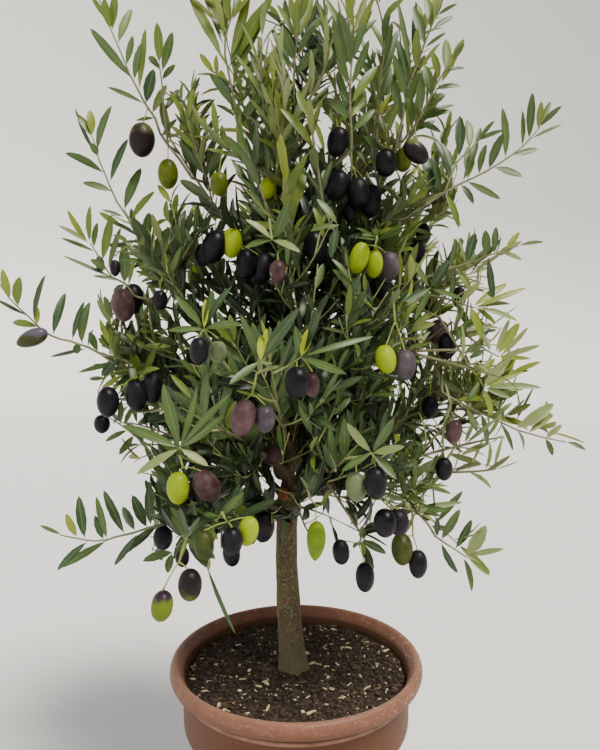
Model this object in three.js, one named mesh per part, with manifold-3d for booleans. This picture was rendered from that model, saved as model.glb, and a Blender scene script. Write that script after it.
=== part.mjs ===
// A potted olive: a young standard tree in fruit, in a round planter with a rolled rim.
// Millimetres, +Z up. The origin is the middle of the pot's flat underside, and the tree's
// front faces -Y.
//
// The trunk stands on the soil and runs up through the crown as a leader. Boughs leave it
// all round, and each ends where its mass of foliage begins: one stem that carries side
// shoots, leaves in opposite pairs and hanging fruit, fused into one solid.
import * as THREE from "three";
import { mergeVertices } from "three/addons/utils/BufferGeometryUtils.js";
import Module from "manifold-3d";

const { Vector2, Vector3 } = THREE;
const wasm = await Module();
wasm.setup();

const UP = new Vector3(0, 0, 1);
const GAP = 0.3; // clearance between pieces that touch
const WELD = 0.02; // details finer than this are dropped from a fused solid
const MERGE = 0.002; // corners closer than this are one
const MARGIN = 0.6; // least distance from a twig, leaf or fruit to a limb or another mass
const NEARBY = 0.02; // the share of a path over which its direction is taken
const STEEP = 0.9; // a direction this close to an axis needs another axis as its reference

// Pot: thin moulded wall, tapered body, wide collar, and a rolled rim.
const POT_HEIGHT = 260;
const RIM_RADIUS = 160;
const RIM_WIDTH = 13;
const RIM_DEPTH = 20;
const RIM_NECK = 3; // plain wall between the collar and the roll
const ROLL_FROM = -100; // the roll starts under the rim and ends inside it, in degrees
const ROLL_TO = 165;
const ROLL_STEPS = 7;
const COLLAR_RADIUS = 144;
const COLLAR_DRAFT = 1; // how much narrower the collar is at its lower edge
const COLLAR_FOOT = 180; // height of the collar's lower edge
const BODY_TOP_RADIUS = 133.5;
const BODY_TOP = 165;
const BASE_RADIUS = 110;
const BASE_BEVEL = 4;
const POT_WALL = 3.4;
const POT_FLOOR = 6;
const POT_SEGMENTS = 32;
const DRAIN_HOLES = 4;
const DRAIN_RADIUS = 7;
const DRAIN_CIRCLE = 62;
const DRAIN_TURN = 45;
const DRAIN_SIDES = 10;

// Soil: fills the pot to a little below the rim.
const SOIL_TOP = 239;

// Trunk: heights are above the soil.
const FOOT_X = -4;
const FOOT_Y = 3;
const SWAY = 8.5; // how far the trunk bows to the left
const SWAY_LENGTH = 330;
const LEAN_BACK = 10; // how far the leader leans back at its tip
const FORK_HEIGHT = 215;
const FORK_START = 207; // the trunk narrows to its leader from here
const FORK_LENGTH = 40;
const FORK_SWELL = 2.2;
const SWELL_HEIGHT = 18;
const TRUNK_LENGTH = 560;
const BUTT_RADIUS = 16.8;
const FORK_RADIUS = 12.8;
const LEADER_RADIUS = 9.2;
const LEADER_TIP_RADIUS = 3.4;
const FLARE = 3.2;
const FLARE_HEIGHT = 16;
const ROOT_LOBES = 5;
const LOBE_DEPTH = 0.11; // of the radius, at the soil
const LOBE_HEIGHT = 30;
const LOBE_TURN = 0.8;
const TRUNK_SIDES = 12;
// Rings lie closer together at the flare and the fork.
const TRUNK_HEIGHTS = [0, 7, 18, 45, 100, 160, 192, 206, 218, 232, 255, 320, 400, 480, TRUNK_LENGTH];

// The collar of a side branch that was cut off just above the fork.
const STUB_HEIGHT = 226;
const STUB_AZIMUTH = 252;
const STUB_RISE = 0.3;
const STUB_RADIUS = 7.5;
const STUB_END_RADIUS = 6.4;
const STUB_LENGTH = 5;
const STUB_SIDES = 8;

// Limbs: name, height above the soil where it leaves the trunk, azimuth in degrees (0 is +X,
// 270 faces the front), reach from the pot's axis, height of its tip above the soil, how far
// it arches above a straight line, and its radius at the trunk.
const LIMBS = [
  ["low_left", 201, 187, 313, 201, 0, 4.6],
  ["low_front_left", 205, 234, 253, 213, 13, 4.4],
  ["low_front_right", 226, 286, 261, 349, -8, 4.6],
  ["low_right_front", 207, 331, 247, 164, 41, 4.4],
  ["low_right", 228, 350, 349, 299, 50, 5.0],
  ["low_back_right", 214, 38, 272, 238, 30, 4.6],
  ["low_back", 200, 91, 256, 215, 30, 4.4],
  ["low_back_left", 217, 138, 290, 262, 25, 4.6],
  ["left_back", 246, 170, 344, 437, 26, 5.0],
  ["left", 280, 190, 353, 470, 10, 4.8],
  ["front_left", 254, 247, 289, 372, 4, 4.8],
  ["front", 290, 265, 276, 430, -12, 4.6],
  ["front_right", 322, 304, 248, 518, -2, 4.4],
  ["right", 266, 0, 313, 396, 3, 4.6],
  ["right_back", 306, 11, 312, 555, 26, 4.8],
  ["back_right", 286, 52, 300, 440, 12, 4.8],
  ["back", 312, 89, 292, 425, 12, 4.6],
  ["back_left", 264, 127, 305, 405, 12, 4.8],
  ["upper_left", 346, 200, 268, 678, -36, 4.4],
  ["upper_front", 362, 267, 200, 619, 8, 4.0],
  ["upper_front_right", 388, 338, 204, 755, 14, 4.0],
  ["upper_right", 452, 0, 326, 716, 8, 4.2],
  ["upper_back_right", 404, 43, 250, 690, -10, 4.2],
  ["upper_back_left", 424, 160, 298, 600, 6, 4.2],
  ["upper_back", 440, 92, 225, 700, -10, 4.0],
];
// Limbs too slight for a bough: their foliage starts on the trunk.
const SHOOTS = [
  ["low_sprig", 214, 306, 178, 203, 3, 2.6],
  ["top_left", 482, 187, 249, 845, -34, 3.6],
  ["top_front_left", 506, 225, 140, 850, -24, 3.2],
  ["top_front_right", 496, 310, 104, 830, -34, 3.2],
  ["top_right", 530, 12, 189, 875, -16, 3.4],
  ["top_back", 518, 112, 150, 862, -16, 3.2],
];
const CROWN_TIP = ["crown_tip", TRUNK_LENGTH, 350, 12, 935, 0, LEADER_TIP_RADIUS];
const BOUGH_SHARE = 0.33; // of a limb's length, before its foliage starts
const BOUGH_SIDES = 5;
const BOUGH_STEPS = 3;
const TIP_SHARE = 0.3; // a limb's radius at its tip, as a share of that at the trunk

// Foliage. A stem has buds for SIDE_SHOOTS side shoots, of which a few grow. A pair of
// numbers is the range that a shoot's own random value is taken from.
const STEM_STEPS = 5;
const TWIG_SIDES = 3;
const TWIG_RADIUS = 2.3;
const TWIG_TIP_RADIUS = 1.5;
const SIDE_SHOOTS = 12;
const MOST_SHOOTS = 4;
const SHOOT_ORDER = 5; // side shoots are tried in steps of this many along the stem
const SHOOT_SPAN = [0.04, 0.93]; // the shares of a stem between which they grow
const SHOOT_LENGTH = 118;
const SHOOT_LENGTHS = [0.7, 1.15];
const SHOOT_TAPER = 0.52; // how much shorter the shoots are at a stem's tip
const SHOOT_ANGLE = 46; // degrees between a side shoot and its stem
const SHOOT_ANGLES = [0.8, 1.25];
const SHOOT_SCATTER = 40; // degrees
const GOLDEN_ANGLE = 137.5;
const TURN_UP = 0.32; // how strongly a shoot turns up to the light
const LEAF_LENGTH = 84;
const LEAF_WIDTH = 23;
const LEAF_THICKNESS = 2.4;
const LEAF_WIDEST = 0.44; // of its length
const LEAF_ANGLE = 42;
const LEAF_LIFT = 0.3;
const LEAF_SINK = 1; // how far a leaf's root lies behind its twig's middle
const LEAF_ROLL = 35; // how far the first pair is turned from one stem or shoot to the next
const STEM_LEAF_PAIRS = [0.18, 0.42, 0.66, 0.9];
const SHOOT_LEAF_PAIRS = [0.6];
const END_LEAF = 0.97; // share of a twig where its single last leaf grows
const END_LEAF_ANGLE = 4;

// Fruit: an olive on a thin stalk.
const FRUIT_LENGTH = 28;
const FRUIT_WIDTH = 20;
const FRUIT_SIDES = 6;
// Its outline from the foot up, as shares of half its width and half its length.
const FRUIT_PROFILE = [
  [0.28, -1],
  [0.88, -0.46],
  [0.96, 0.3],
  [0.42, 1],
];
const STALK_RADIUS = 1.2;
const STALK_SINK = 3;
const FRUIT_SHARE = 0.16; // of side shoots that bear one by the rule
const FRUIT_PLACES = [0.25, 0.6];
const FRUIT_STALKS = [10, 26];
const FRUIT_OUT = 4;
// Fruit that hangs from a stem, by mass: share of the stem, stalk length, and the azimuth
// and distance by which it hangs out from the stem.
const STEM_FRUIT = {
  low_sprig: [[0.5, 22, 180, 3], [0.8, 26, 190, 4], [0.93, 44, 344, 12]],
  low_left: [[0.54, 14, 0, 2]],
  low_front_left: [[0.2, 17, 0, 2], [0.45, 24, 180, 2], [0.97, 44, 340, 6], [0.97, 60, 205, 24]],
  low_front_right: [[0.9, 18, 180, 12], [0.9, 38, 350, 16]],
  low_right_front: [[0.64, 40, 0, 3], [0.81, 48, 180, 2]],
  low_right: [[0.57, 14, 180, 2]],
  left: [[0.54, 33, 0, 2], [0.71, 50, 180, 2]],
  front_left: [[0.93, 46, 350, 8], [0.94, 44, 193, 16]],
  front: [[0.8, 22, 350, 12], [0.9, 24, 191, 18]],
  front_right: [[0.85, 40, 180, 3], [0.97, 50, 0, 8]],
  upper_front: [[0.63, 12, 180, 18]],
  upper_front_right: [[0.28, 21, 180, 3], [0.42, 46, 350, 3], [0.75, 12, 200, 14], [0.87, 17, 0, 3]],
  top_left: [[0.72, 24, 180, 4], [0.85, 32, 180, 4]],
  top_front_right: [[0.5, 12, 180, 8], [0.64, 26, 350, 12]],
};

// A repeatable stream of numbers from 0 to 1 (the minimal standard generator).
const MODULUS = 2147483647;
const MULTIPLIER = 48271;
const WARM_UP = 4;
const SEEDS_APART = 1000; // between one mass and the next
function seeded(seed) {
  let state = (seed % (MODULUS - 1)) + 1;
  const next = () => {
    state = (state * MULTIPLIER) % MODULUS;
    return state / MODULUS;
  };
  for (let i = 0; i < WARM_UP; i += 1) next();
  return next;
}

const radians = (degrees) => (degrees * Math.PI) / 180;
const mix = (a, b, t) => a + (b - a) * t;
const within = ([low, high], t) => mix(low, high, t);
const smooth = (t) => t * t * (3 - 2 * t);
const clamp01 = (t) => Math.min(1, Math.max(0, t));
const levelWay = (degrees) => new Vector3(Math.cos(radians(degrees)), Math.sin(radians(degrees)), 0);

// A closed geometry as a solid.
function solidOf(geometry) {
  const bare = geometry.clone();
  bare.deleteAttribute("normal");
  bare.deleteAttribute("uv");
  const merged = mergeVertices(bare, MERGE);
  return new wasm.Manifold(
    new wasm.Mesh({
      numProp: 3,
      vertProperties: new Float32Array(merged.attributes.position.array),
      triVerts: new Uint32Array(merged.index.array),
    }),
  );
}

// A solid as a geometry, with its faces flat shaded.
function geometryOf(solid) {
  const mesh = solid.getMesh();
  const geometry = new THREE.BufferGeometry();
  geometry.setAttribute("position", new THREE.BufferAttribute(mesh.vertProperties, 3));
  geometry.setIndex(new THREE.BufferAttribute(mesh.triVerts, 1));
  return geometry;
}

// The largest body of a solid, with loose scraps and sealed hollows left out.
function wholeBody(solid) {
  const welded = solidOf(geometryOf(solid.simplify(WELD)));
  return welded.decompose().reduce((a, b) => (a.volume() > b.volume() ? a : b));
}

function indexedGeometry(points, faces) {
  const geometry = new THREE.BufferGeometry().setFromPoints(points);
  geometry.setIndex(faces.flat());
  return geometry;
}

// A tapering tube: a ring of corners round each point, square to the way that the tube runs
// there, and flat ends.
function tube({ points, ways, radii }, sides, lobes = () => 1) {
  const vertices = [];
  const faces = [];
  const rings = points.length;
  let across = Math.abs(ways[0].x) < STEEP ? levelWay(0) : levelWay(90);
  points.forEach((point, i) => {
    const along = ways[i];
    across = across.clone().addScaledVector(along, -across.dot(along)).normalize();
    const third = new Vector3().crossVectors(along, across);
    for (let k = 0; k < sides; k += 1) {
      const turn = (k / sides) * 2 * Math.PI;
      const radius = radii[i] * lobes(turn, i);
      vertices.push(
        point
          .clone()
          .addScaledVector(across, radius * Math.cos(turn))
          .addScaledVector(third, radius * Math.sin(turn)),
      );
    }
  });
  for (let i = 0; i < rings - 1; i += 1) {
    for (let k = 0; k < sides; k += 1) {
      const a = i * sides + k;
      const b = i * sides + ((k + 1) % sides);
      faces.push([a, b, a + sides], [b, b + sides, a + sides]);
    }
  }
  const last = (rings - 1) * sides;
  for (let k = 1; k < sides - 1; k += 1) {
    faces.push([0, k + 1, k], [last, last + k, last + k + 1]);
  }
  return indexedGeometry(vertices, faces);
}

// A straight tapering rod as a solid.
function rod(from, to, fromRadius, toRadius, sides) {
  const along = new Vector3().subVectors(to, from).normalize();
  const rings = { points: [from, to], ways: [along, along], radii: [fromRadius, toRadius] };
  return solidOf(tube(rings, sides));
}

// A round piece turned about the pot's axis from a profile of [radius, height] pairs.
function turned(profile, segments) {
  const points = profile.map(([radius, height]) => new Vector2(radius, height));
  return new THREE.LatheGeometry(points, segments).rotateX(Math.PI / 2);
}

// The pot's inner wall, from the floor up, as [radius, height] pairs.
const INNER_WALL = [
  [BASE_RADIUS - POT_WALL, POT_FLOOR],
  [BODY_TOP_RADIUS - POT_WALL, BODY_TOP],
  [COLLAR_RADIUS - POT_WALL, COLLAR_FOOT],
  [COLLAR_RADIUS - POT_WALL, SOIL_TOP],
];

function pot() {
  const outside = [
    [0, 0],
    [BASE_RADIUS - BASE_BEVEL, 0],
    [BASE_RADIUS, BASE_BEVEL],
    [BODY_TOP_RADIUS, BODY_TOP],
    [COLLAR_RADIUS - COLLAR_DRAFT, COLLAR_FOOT],
    [COLLAR_RADIUS, POT_HEIGHT - RIM_DEPTH - RIM_NECK],
  ];
  const rollMiddle = RIM_RADIUS - RIM_WIDTH / 2;
  const rollHeight = POT_HEIGHT - RIM_DEPTH / 2;
  const roll = Array.from({ length: ROLL_STEPS + 1 }, (_, i) => {
    const turn = radians(mix(ROLL_FROM, ROLL_TO, i / ROLL_STEPS));
    const out = (RIM_WIDTH / 2) * Math.cos(turn);
    return [rollMiddle + out, rollHeight + (RIM_DEPTH / 2) * Math.sin(turn)];
  });
  const profile = [...outside, ...roll, ...[...INNER_WALL].reverse(), [0, POT_FLOOR]];
  const shell = solidOf(turned(profile, POT_SEGMENTS));
  const drain = new THREE.CylinderGeometry(DRAIN_RADIUS, DRAIN_RADIUS, POT_FLOOR * 3, DRAIN_SIDES);
  drain.rotateX(Math.PI / 2);
  const holes = Array.from({ length: DRAIN_HOLES }, (_, i) => {
    const place = levelWay(DRAIN_TURN + (i * 360) / DRAIN_HOLES).multiplyScalar(DRAIN_CIRCLE);
    return solidOf(drain.clone().translate(place.x, place.y, 0));
  });
  return shell.subtract(wasm.Manifold.union(holes));
}

function soil() {
  const side = INNER_WALL.map(([radius, height]) => [radius - GAP, height]);
  side[0][1] += GAP;
  return solidOf(turned([[0, side[0][1]], ...side, [0, SOIL_TOP]], POT_SEGMENTS));
}

// The trunk's middle and radius at a height above the soil.
function trunkMiddle(height) {
  return new Vector3(
    FOOT_X - SWAY * Math.sin((Math.PI * height) / SWAY_LENGTH),
    FOOT_Y + LEAN_BACK * (height / TRUNK_LENGTH) ** 2,
    SOIL_TOP + GAP + height,
  );
}

function trunkRadius(height) {
  const below = mix(BUTT_RADIUS, FORK_RADIUS, height / FORK_HEIGHT);
  const share = (height - FORK_HEIGHT) / (TRUNK_LENGTH - FORK_HEIGHT);
  const above = mix(LEADER_RADIUS, LEADER_TIP_RADIUS, share);
  const pastFork = smooth(clamp01((height - FORK_START) / FORK_LENGTH));
  const flare = FLARE * Math.exp(-height / FLARE_HEIGHT);
  const swell = FORK_SWELL * Math.exp(-(((height - FORK_HEIGHT) / SWELL_HEIGHT) ** 2));
  return mix(below, above, pastFork) + flare + swell;
}

function trunk(extra) {
  const rings = {
    points: TRUNK_HEIGHTS.map(trunkMiddle),
    ways: TRUNK_HEIGHTS.map(() => UP),
    radii: TRUNK_HEIGHTS.map((height) => trunkRadius(height) + extra),
  };
  const lobes = (turn, ring) => {
    const depth = LOBE_DEPTH * Math.exp(-TRUNK_HEIGHTS[ring] / LOBE_HEIGHT);
    return 1 + depth * Math.cos(ROOT_LOBES * turn + LOBE_TURN);
  };
  const stubAlong = levelWay(STUB_AZIMUTH).addScaledVector(UP, STUB_RISE).normalize();
  const stubStart = trunkMiddle(STUB_HEIGHT);
  const stubEnd = stubStart
    .clone()
    .addScaledVector(stubAlong, trunkRadius(STUB_HEIGHT) + STUB_LENGTH + extra);
  const stub = rod(stubStart, stubEnd, STUB_RADIUS + extra, STUB_END_RADIUS + extra, STUB_SIDES);
  return solidOf(tube(rings, TRUNK_SIDES, lobes)).add(stub);
}

// A limb is one curve from the trunk's middle to where its last leaf grows.
function limb([name, height, azimuth, reach, tipHeight, arch, radius]) {
  const start = trunkMiddle(height);
  const leafTip = levelWay(azimuth).multiplyScalar(reach).addScaledVector(UP, SOIL_TOP + tipHeight);
  const aim = new Vector3().lerpVectors(start, leafTip, 0.5).addScaledVector(UP, 2 * arch);
  const lastLeaf = new Vector3().subVectors(leafTip, aim).setLength(LEAF_LENGTH);
  const tip = leafTip.sub(lastLeaf);
  const middle = new Vector3().lerpVectors(start, tip, 0.5).addScaledVector(UP, 2 * arch);
  const curve = new THREE.QuadraticBezierCurve3(start, middle, tip);
  return {
    name,
    at: (share) => curve.getPoint(share),
    radiusAt: (share) => radius * mix(1, TIP_SHARE, share),
  };
}

// The way that a path runs at a share of its length.
function wayAt(path, share) {
  const back = path.at(Math.max(0, share - NEARBY));
  return path.at(Math.min(1, share + NEARBY)).sub(back).normalize();
}

function stretch(path, from, to, steps) {
  const shares = Array.from({ length: steps + 1 }, (_, i) => mix(from, to, i / steps));
  return {
    points: shares.map(path.at),
    ways: shares.map((share) => wayAt(path, share)),
    radii: shares.map(path.radiusAt),
  };
}

const trunkPath = {
  at: (share) => trunkMiddle(share * TRUNK_LENGTH),
  radiusAt: (share) => trunkRadius(share * TRUNK_LENGTH),
};

// A limb as a chain of short round links.
function chainOf(path, from, to, steps) {
  const { points, radii } = stretch(path, from, to, steps);
  return points.slice(1).map((point, i) => ({
    line: new THREE.Line3(points[i], point),
    radius: Math.max(radii[i], radii[i + 1]),
  }));
}

// The distance from a point to the middle line of a chain, and to its surface.
const nearest = new Vector3();
function toMiddle(chain, point) {
  return Math.min(
    ...chain.map(({ line }) => line.closestPointToPoint(point, true, nearest).distanceTo(point)),
  );
}
function toSurface(chain, point) {
  return Math.min(
    ...chain.map(({ line, radius }) => {
      line.closestPointToPoint(point, true, nearest);
      return nearest.distanceTo(point) - radius;
    }),
  );
}

// A mass's own space: the points that lie nearer to its stem than to any other's.
function ownSpace(stemChains, own) {
  const others = stemChains.filter((_, i) => i !== own).flat();
  return (point) => toMiddle(stemChains[own], point) + MARGIN < toMiddle(others, point);
}

// A leaf folded a little along its midrib: heel, left edge, right edge and tip. Its heel lies
// inside the twig.
function leafCorners(root, along, face) {
  const side = new Vector3().crossVectors(along, face).normalize();
  const widest = root
    .clone()
    .addScaledVector(along, LEAF_LENGTH * LEAF_WIDEST)
    .addScaledVector(face, LEAF_THICKNESS);
  return [
    root.clone().addScaledVector(along, -LEAF_SINK),
    widest.clone().addScaledVector(side, -LEAF_WIDTH / 2),
    widest.clone().addScaledVector(side, LEAF_WIDTH / 2),
    root.clone().addScaledVector(along, LEAF_LENGTH),
  ];
}

const LEAF_FACES = [
  [0, 2, 1],
  [3, 1, 2],
  [0, 1, 3],
  [0, 3, 2],
];

// The direction at an angle from along, turned about it by a roll.
function leaning(along, angle, roll) {
  const reference = Math.abs(along.z) < STEEP ? UP : levelWay(0);
  const side = new Vector3().crossVectors(along, reference).normalize();
  const other = new Vector3().crossVectors(side, along);
  return new Vector3()
    .addScaledVector(along, Math.cos(radians(angle)))
    .addScaledVector(side, Math.sin(radians(angle)) * Math.cos(radians(roll)))
    .addScaledVector(other, Math.sin(radians(angle)) * Math.sin(radians(roll)));
}

// A side shoot turns up to the light.
function shootPath(root, along, length, lift) {
  const tip = root
    .clone()
    .addScaledVector(along, length)
    .addScaledVector(UP, length * lift);
  return {
    at: (share) => new Vector3().lerpVectors(root, tip, share),
    radiusAt: (share) => mix(TWIG_RADIUS, TWIG_TIP_RADIUS, share),
  };
}

// The side shoots of a stem, each from its own stream of numbers.
function sideShoots(stem, massNumber) {
  return Array.from({ length: SIDE_SHOOTS }, (_, k) => {
    const random = seeded(SEEDS_APART * (massNumber + 1) + k);
    const share = within(SHOOT_SPAN, (k + random() / 2) / SIDE_SHOOTS);
    const roll = GOLDEN_ANGLE * k + SHOOT_SCATTER * random();
    const length = SHOOT_LENGTH * (1 - SHOOT_TAPER * share) * within(SHOOT_LENGTHS, random());
    const angle = SHOOT_ANGLE * within(SHOOT_ANGLES, random());
    const along = leaning(wayAt(stem, share), angle, roll);
    const bears = random() < FRUIT_SHARE;
    const at = within(FRUIT_PLACES, random());
    const stalk = within(FRUIT_STALKS, random());
    const azimuth = 360 * random();
    const path = shootPath(stem.at(share), along, length, TURN_UP * (1 - along.z));
    return { path, fruit: bears ? { at, stalk, azimuth } : null };
  });
}

// One fruit on its stalk, hanging from a point. Its own axis is nearly upright.
function fruitParts(from, stalk, azimuth, out) {
  const top = from.clone().addScaledVector(levelWay(azimuth), out).addScaledVector(UP, -stalk);
  const centre = top.clone().addScaledVector(UP, STALK_SINK - FRUIT_LENGTH / 2);
  return { from, top, centre };
}

function fruitSolid({ from, top, centre }) {
  const rings = {
    points: FRUIT_PROFILE.map(([, height]) =>
      centre.clone().addScaledVector(UP, height * (FRUIT_LENGTH / 2)),
    ),
    ways: FRUIT_PROFILE.map(() => UP),
    radii: FRUIT_PROFILE.map(([width]) => width * (FRUIT_WIDTH / 2)),
  };
  const inside = top.clone().addScaledVector(UP, -STALK_SINK * 2);
  const stalk = rod(from, inside, STALK_RADIUS, STALK_RADIUS, TWIG_SIDES);
  return solidOf(tube(rings, FRUIT_SIDES)).add(stalk);
}

// Where a piece is tested against its neighbours: the midrib of a leaf, and a shoot past
// the share of it that lies in its stem.
const MIDRIB_SHARES = [0.3, 0.7];
const CLEAR_OF_STEM = 0.2;
const SHOOT_TESTS = 5;
const ALONG_TWIG = 0.05; // a leaf this close to its twig's direction has no side of its own

// One mass of foliage: stem, side shoots, leaves and fruit, fused into one solid.
function mass(stem, massNumber, isInside, limbChain, fruit) {
  const parts = [];
  parts.push(solidOf(tube(stretch(stem, 0, 1, STEM_STEPS), TWIG_SIDES)));

  const taken = chainOf(stem, 0, 1, STEM_STEPS);
  const allows = (point, radius) =>
    isInside(point) &&
    toSurface(limbChain, point) > radius + MARGIN &&
    toSurface(taken, point) > radius;

  const addLeaf = (path, share, roll, angle) => {
    const root = path.at(share);
    const growth = wayAt(path, share);
    const along = leaning(growth, angle, roll).addScaledVector(UP, LEAF_LIFT).normalize();
    const face = growth.clone().addScaledVector(along, -growth.dot(along));
    if (face.length() < ALONG_TWIG) face.copy(leaning(along, 90, roll));
    face.normalize();
    const corners = leafCorners(root, along, face);
    const midrib = new THREE.Line3(root, corners[3]);
    const ribs = MIDRIB_SHARES.map((s) => midrib.at(s, new Vector3()));
    if (![...corners.slice(1), ...ribs].every((corner) => allows(corner, LEAF_THICKNESS))) return;
    parts.push(solidOf(indexedGeometry(corners, LEAF_FACES)));
    taken.push({ line: midrib, radius: LEAF_WIDTH / 4 });
  };
  // Each opposite pair is turned a quarter from the last.
  const addLeaves = (path, pairs, roll) => {
    pairs.forEach((share, i) => {
      addLeaf(path, share, roll + 90 * i, LEAF_ANGLE);
      addLeaf(path, share, roll + 90 * i + 180, LEAF_ANGLE);
    });
    addLeaf(path, END_LEAF, roll, END_LEAF_ANGLE);
  };
  const addFruit = (from, stalk, azimuth, out) => {
    const piece = fruitParts(from, stalk, azimuth, out);
    if (!allows(piece.centre, FRUIT_WIDTH / 2)) return;
    const lowest = piece.centre.clone().addScaledVector(UP, -FRUIT_LENGTH / 2);
    const sides = [0, 90, 180, 270].map((turn) =>
      piece.centre.clone().addScaledVector(levelWay(turn), FRUIT_WIDTH / 2),
    );
    if ([lowest, ...sides].every((point) => allows(point, 0))) parts.push(fruitSolid(piece));
  };

  addLeaves(stem, STEM_LEAF_PAIRS, LEAF_ROLL * massNumber);
  fruit.forEach(([share, stalk, azimuth, out]) => addFruit(stem.at(share), stalk, azimuth, out));
  const shoots = sideShoots(stem, massNumber);
  let grown = 0;
  shoots.forEach((_, i) => {
    const k = (i * SHOOT_ORDER) % SIDE_SHOOTS;
    const shoot = shoots[k];
    const reach = stretch(shoot.path, CLEAR_OF_STEM, 1, SHOOT_TESTS).points;
    if (grown === MOST_SHOOTS || !reach.every((point) => allows(point, TWIG_RADIUS))) return;
    grown += 1;
    parts.push(solidOf(tube(stretch(shoot.path, 0, 1, 1), TWIG_SIDES)));
    taken.push(...chainOf(shoot.path, 0, 1, 1));
    addLeaves(shoot.path, SHOOT_LEAF_PAIRS, LEAF_ROLL * k);
    if (shoot.fruit) {
      const { at, stalk, azimuth } = shoot.fruit;
      addFruit(shoot.path.at(at), stalk, azimuth, FRUIT_OUT);
    }
  });
  return wasm.Manifold.union(parts);
}

function material(colour, roughness) {
  return new THREE.MeshStandardMaterial({ color: colour, roughness, metalness: 0, flatShading: true });
}
const clay = material(0x9a6550, 0.5);
const earth = material(0x2c221b, 0.95);
const bark = material(0x7d7460, 0.85);
const foliage = material(0x5f7440, 0.55);

const tree = new THREE.Group();
function add(name, solid, skin) {
  const mesh = new THREE.Mesh(geometryOf(solid), skin);
  mesh.name = name;
  tree.add(mesh);
}

add("pot", pot(), clay);
add("soil", soil(), earth);
add("trunk", trunk(0), bark);
const trunkRoom = trunk(GAP);

// Each limb is cut to the trunk's side. Its foliage goes on along the same curve.
const boughLimbs = LIMBS.map(limb);
const shootLimbs = [...SHOOTS, CROWN_TIP].map(limb);
const stemOf = (path, from) => ({
  name: path.name,
  at: (share) => path.at(mix(from, 1, share)),
  radiusAt: (share) => path.radiusAt(mix(from, 1, share)),
});
// The share of a path that the clearance takes up.
const gapShare = (path, share) => (NEARBY * GAP) / path.at(share).distanceTo(path.at(share + NEARBY));
const stems = [
  ...boughLimbs.map((path) => stemOf(path, BOUGH_SHARE + gapShare(path, BOUGH_SHARE))),
  ...shootLimbs.map((path) => stemOf(path, path.name === CROWN_TIP[0] ? gapShare(path, 0) : 0)),
];
const STEM_LINKS = 8;
const BOUGH_LINKS = 6;
const TRUNK_LINKS = 40;
const stemChains = stems.map((stem) => chainOf(stem, 0, 1, STEM_LINKS));
const boughChains = boughLimbs.flatMap((path) => chainOf(path, NEARBY, BOUGH_SHARE, BOUGH_LINKS));
const limbChain = [...chainOf(trunkPath, 0, 1, TRUNK_LINKS), ...boughChains];

boughLimbs.forEach((path) => {
  const whole = solidOf(tube(stretch(path, 0, BOUGH_SHARE, BOUGH_STEPS), BOUGH_SIDES));
  add("bough_" + path.name, whole.subtract(trunkRoom), bark);
});
stems.forEach((stem, i) => {
  const fruit = STEM_FRUIT[stem.name] ?? [];
  const whole = mass(stem, i, ownSpace(stemChains, i), limbChain, fruit);
  add("foliage_" + stem.name, wholeBody(whole.subtract(trunkRoom)), foliage);
});

export default tree;
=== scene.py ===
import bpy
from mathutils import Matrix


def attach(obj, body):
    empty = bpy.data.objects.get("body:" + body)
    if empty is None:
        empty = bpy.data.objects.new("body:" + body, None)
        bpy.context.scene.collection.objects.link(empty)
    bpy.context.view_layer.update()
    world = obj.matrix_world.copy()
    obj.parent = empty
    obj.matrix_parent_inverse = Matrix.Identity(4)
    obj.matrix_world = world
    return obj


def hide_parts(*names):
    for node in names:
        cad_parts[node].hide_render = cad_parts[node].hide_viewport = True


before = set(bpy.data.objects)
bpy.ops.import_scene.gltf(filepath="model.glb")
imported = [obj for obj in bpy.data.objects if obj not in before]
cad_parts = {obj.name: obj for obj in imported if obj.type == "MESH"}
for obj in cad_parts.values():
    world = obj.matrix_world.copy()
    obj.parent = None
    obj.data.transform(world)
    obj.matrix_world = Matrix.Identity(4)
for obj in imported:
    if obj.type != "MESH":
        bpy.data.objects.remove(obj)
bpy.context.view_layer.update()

# A young standard olive in fruit, in a clay-coloured planter, in the order that it is put
# together. Lengths are millimetres until a mesh is made. The tree's front faces -Y.
import math
from types import SimpleNamespace

import bmesh
import bpy
import numpy as np
from mathutils import noise

# Camera: in front of the tree, level with its middle and tilted a few degrees down. What is
# placed by its pixel in the picture that it takes is found from here.
MM = 0.001
CAMERA_PLACE = np.array([4.85, -816.1, 660.4])
CAMERA_TILT = math.radians(2.92)
PICTURE_WIDTH = 600
PICTURE_HEIGHT = 750
FOCUS = 648.5  # focal length in pixels
SENSOR = 36  # along the picture's longer side
VIEW_WAY = np.array([0, math.cos(CAMERA_TILT), -math.sin(CAMERA_TILT)])
VIEW_UP = np.array([0, math.sin(CAMERA_TILT), math.cos(CAMERA_TILT)])
VIEW_RIGHT = np.array([1.0, 0, 0])

camera = bpy.data.objects.new("camera", bpy.data.cameras.new("camera"))
camera.data.sensor_width = SENSOR
camera.data.lens = FOCUS * SENSOR / PICTURE_HEIGHT
camera.location = CAMERA_PLACE * MM
camera.rotation_euler = (math.pi / 2 - CAMERA_TILT, 0, 0)
bpy.context.scene.collection.objects.link(camera)
bpy.context.scene.camera = camera


def to_picture(points):
    """The pixel column and row of each point, and its distance ahead of the camera."""
    offset = points - CAMERA_PLACE
    ahead = offset @ VIEW_WAY
    column = PICTURE_WIDTH / 2 + FOCUS * (offset @ VIEW_RIGHT) / ahead
    row = PICTURE_HEIGHT / 2 - FOCUS * (offset @ VIEW_UP) / ahead
    return column, row, ahead


def from_picture(column, row, y):
    """The point at a pixel of the picture, as far back as y."""
    across = (column - PICTURE_WIDTH / 2) / FOCUS
    up = (PICTURE_HEIGHT / 2 - row) / FOCUS
    way = VIEW_WAY + VIEW_RIGHT * across + VIEW_UP * up
    return CAMERA_PLACE + way * (y - CAMERA_PLACE[1]) / way[1]


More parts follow.
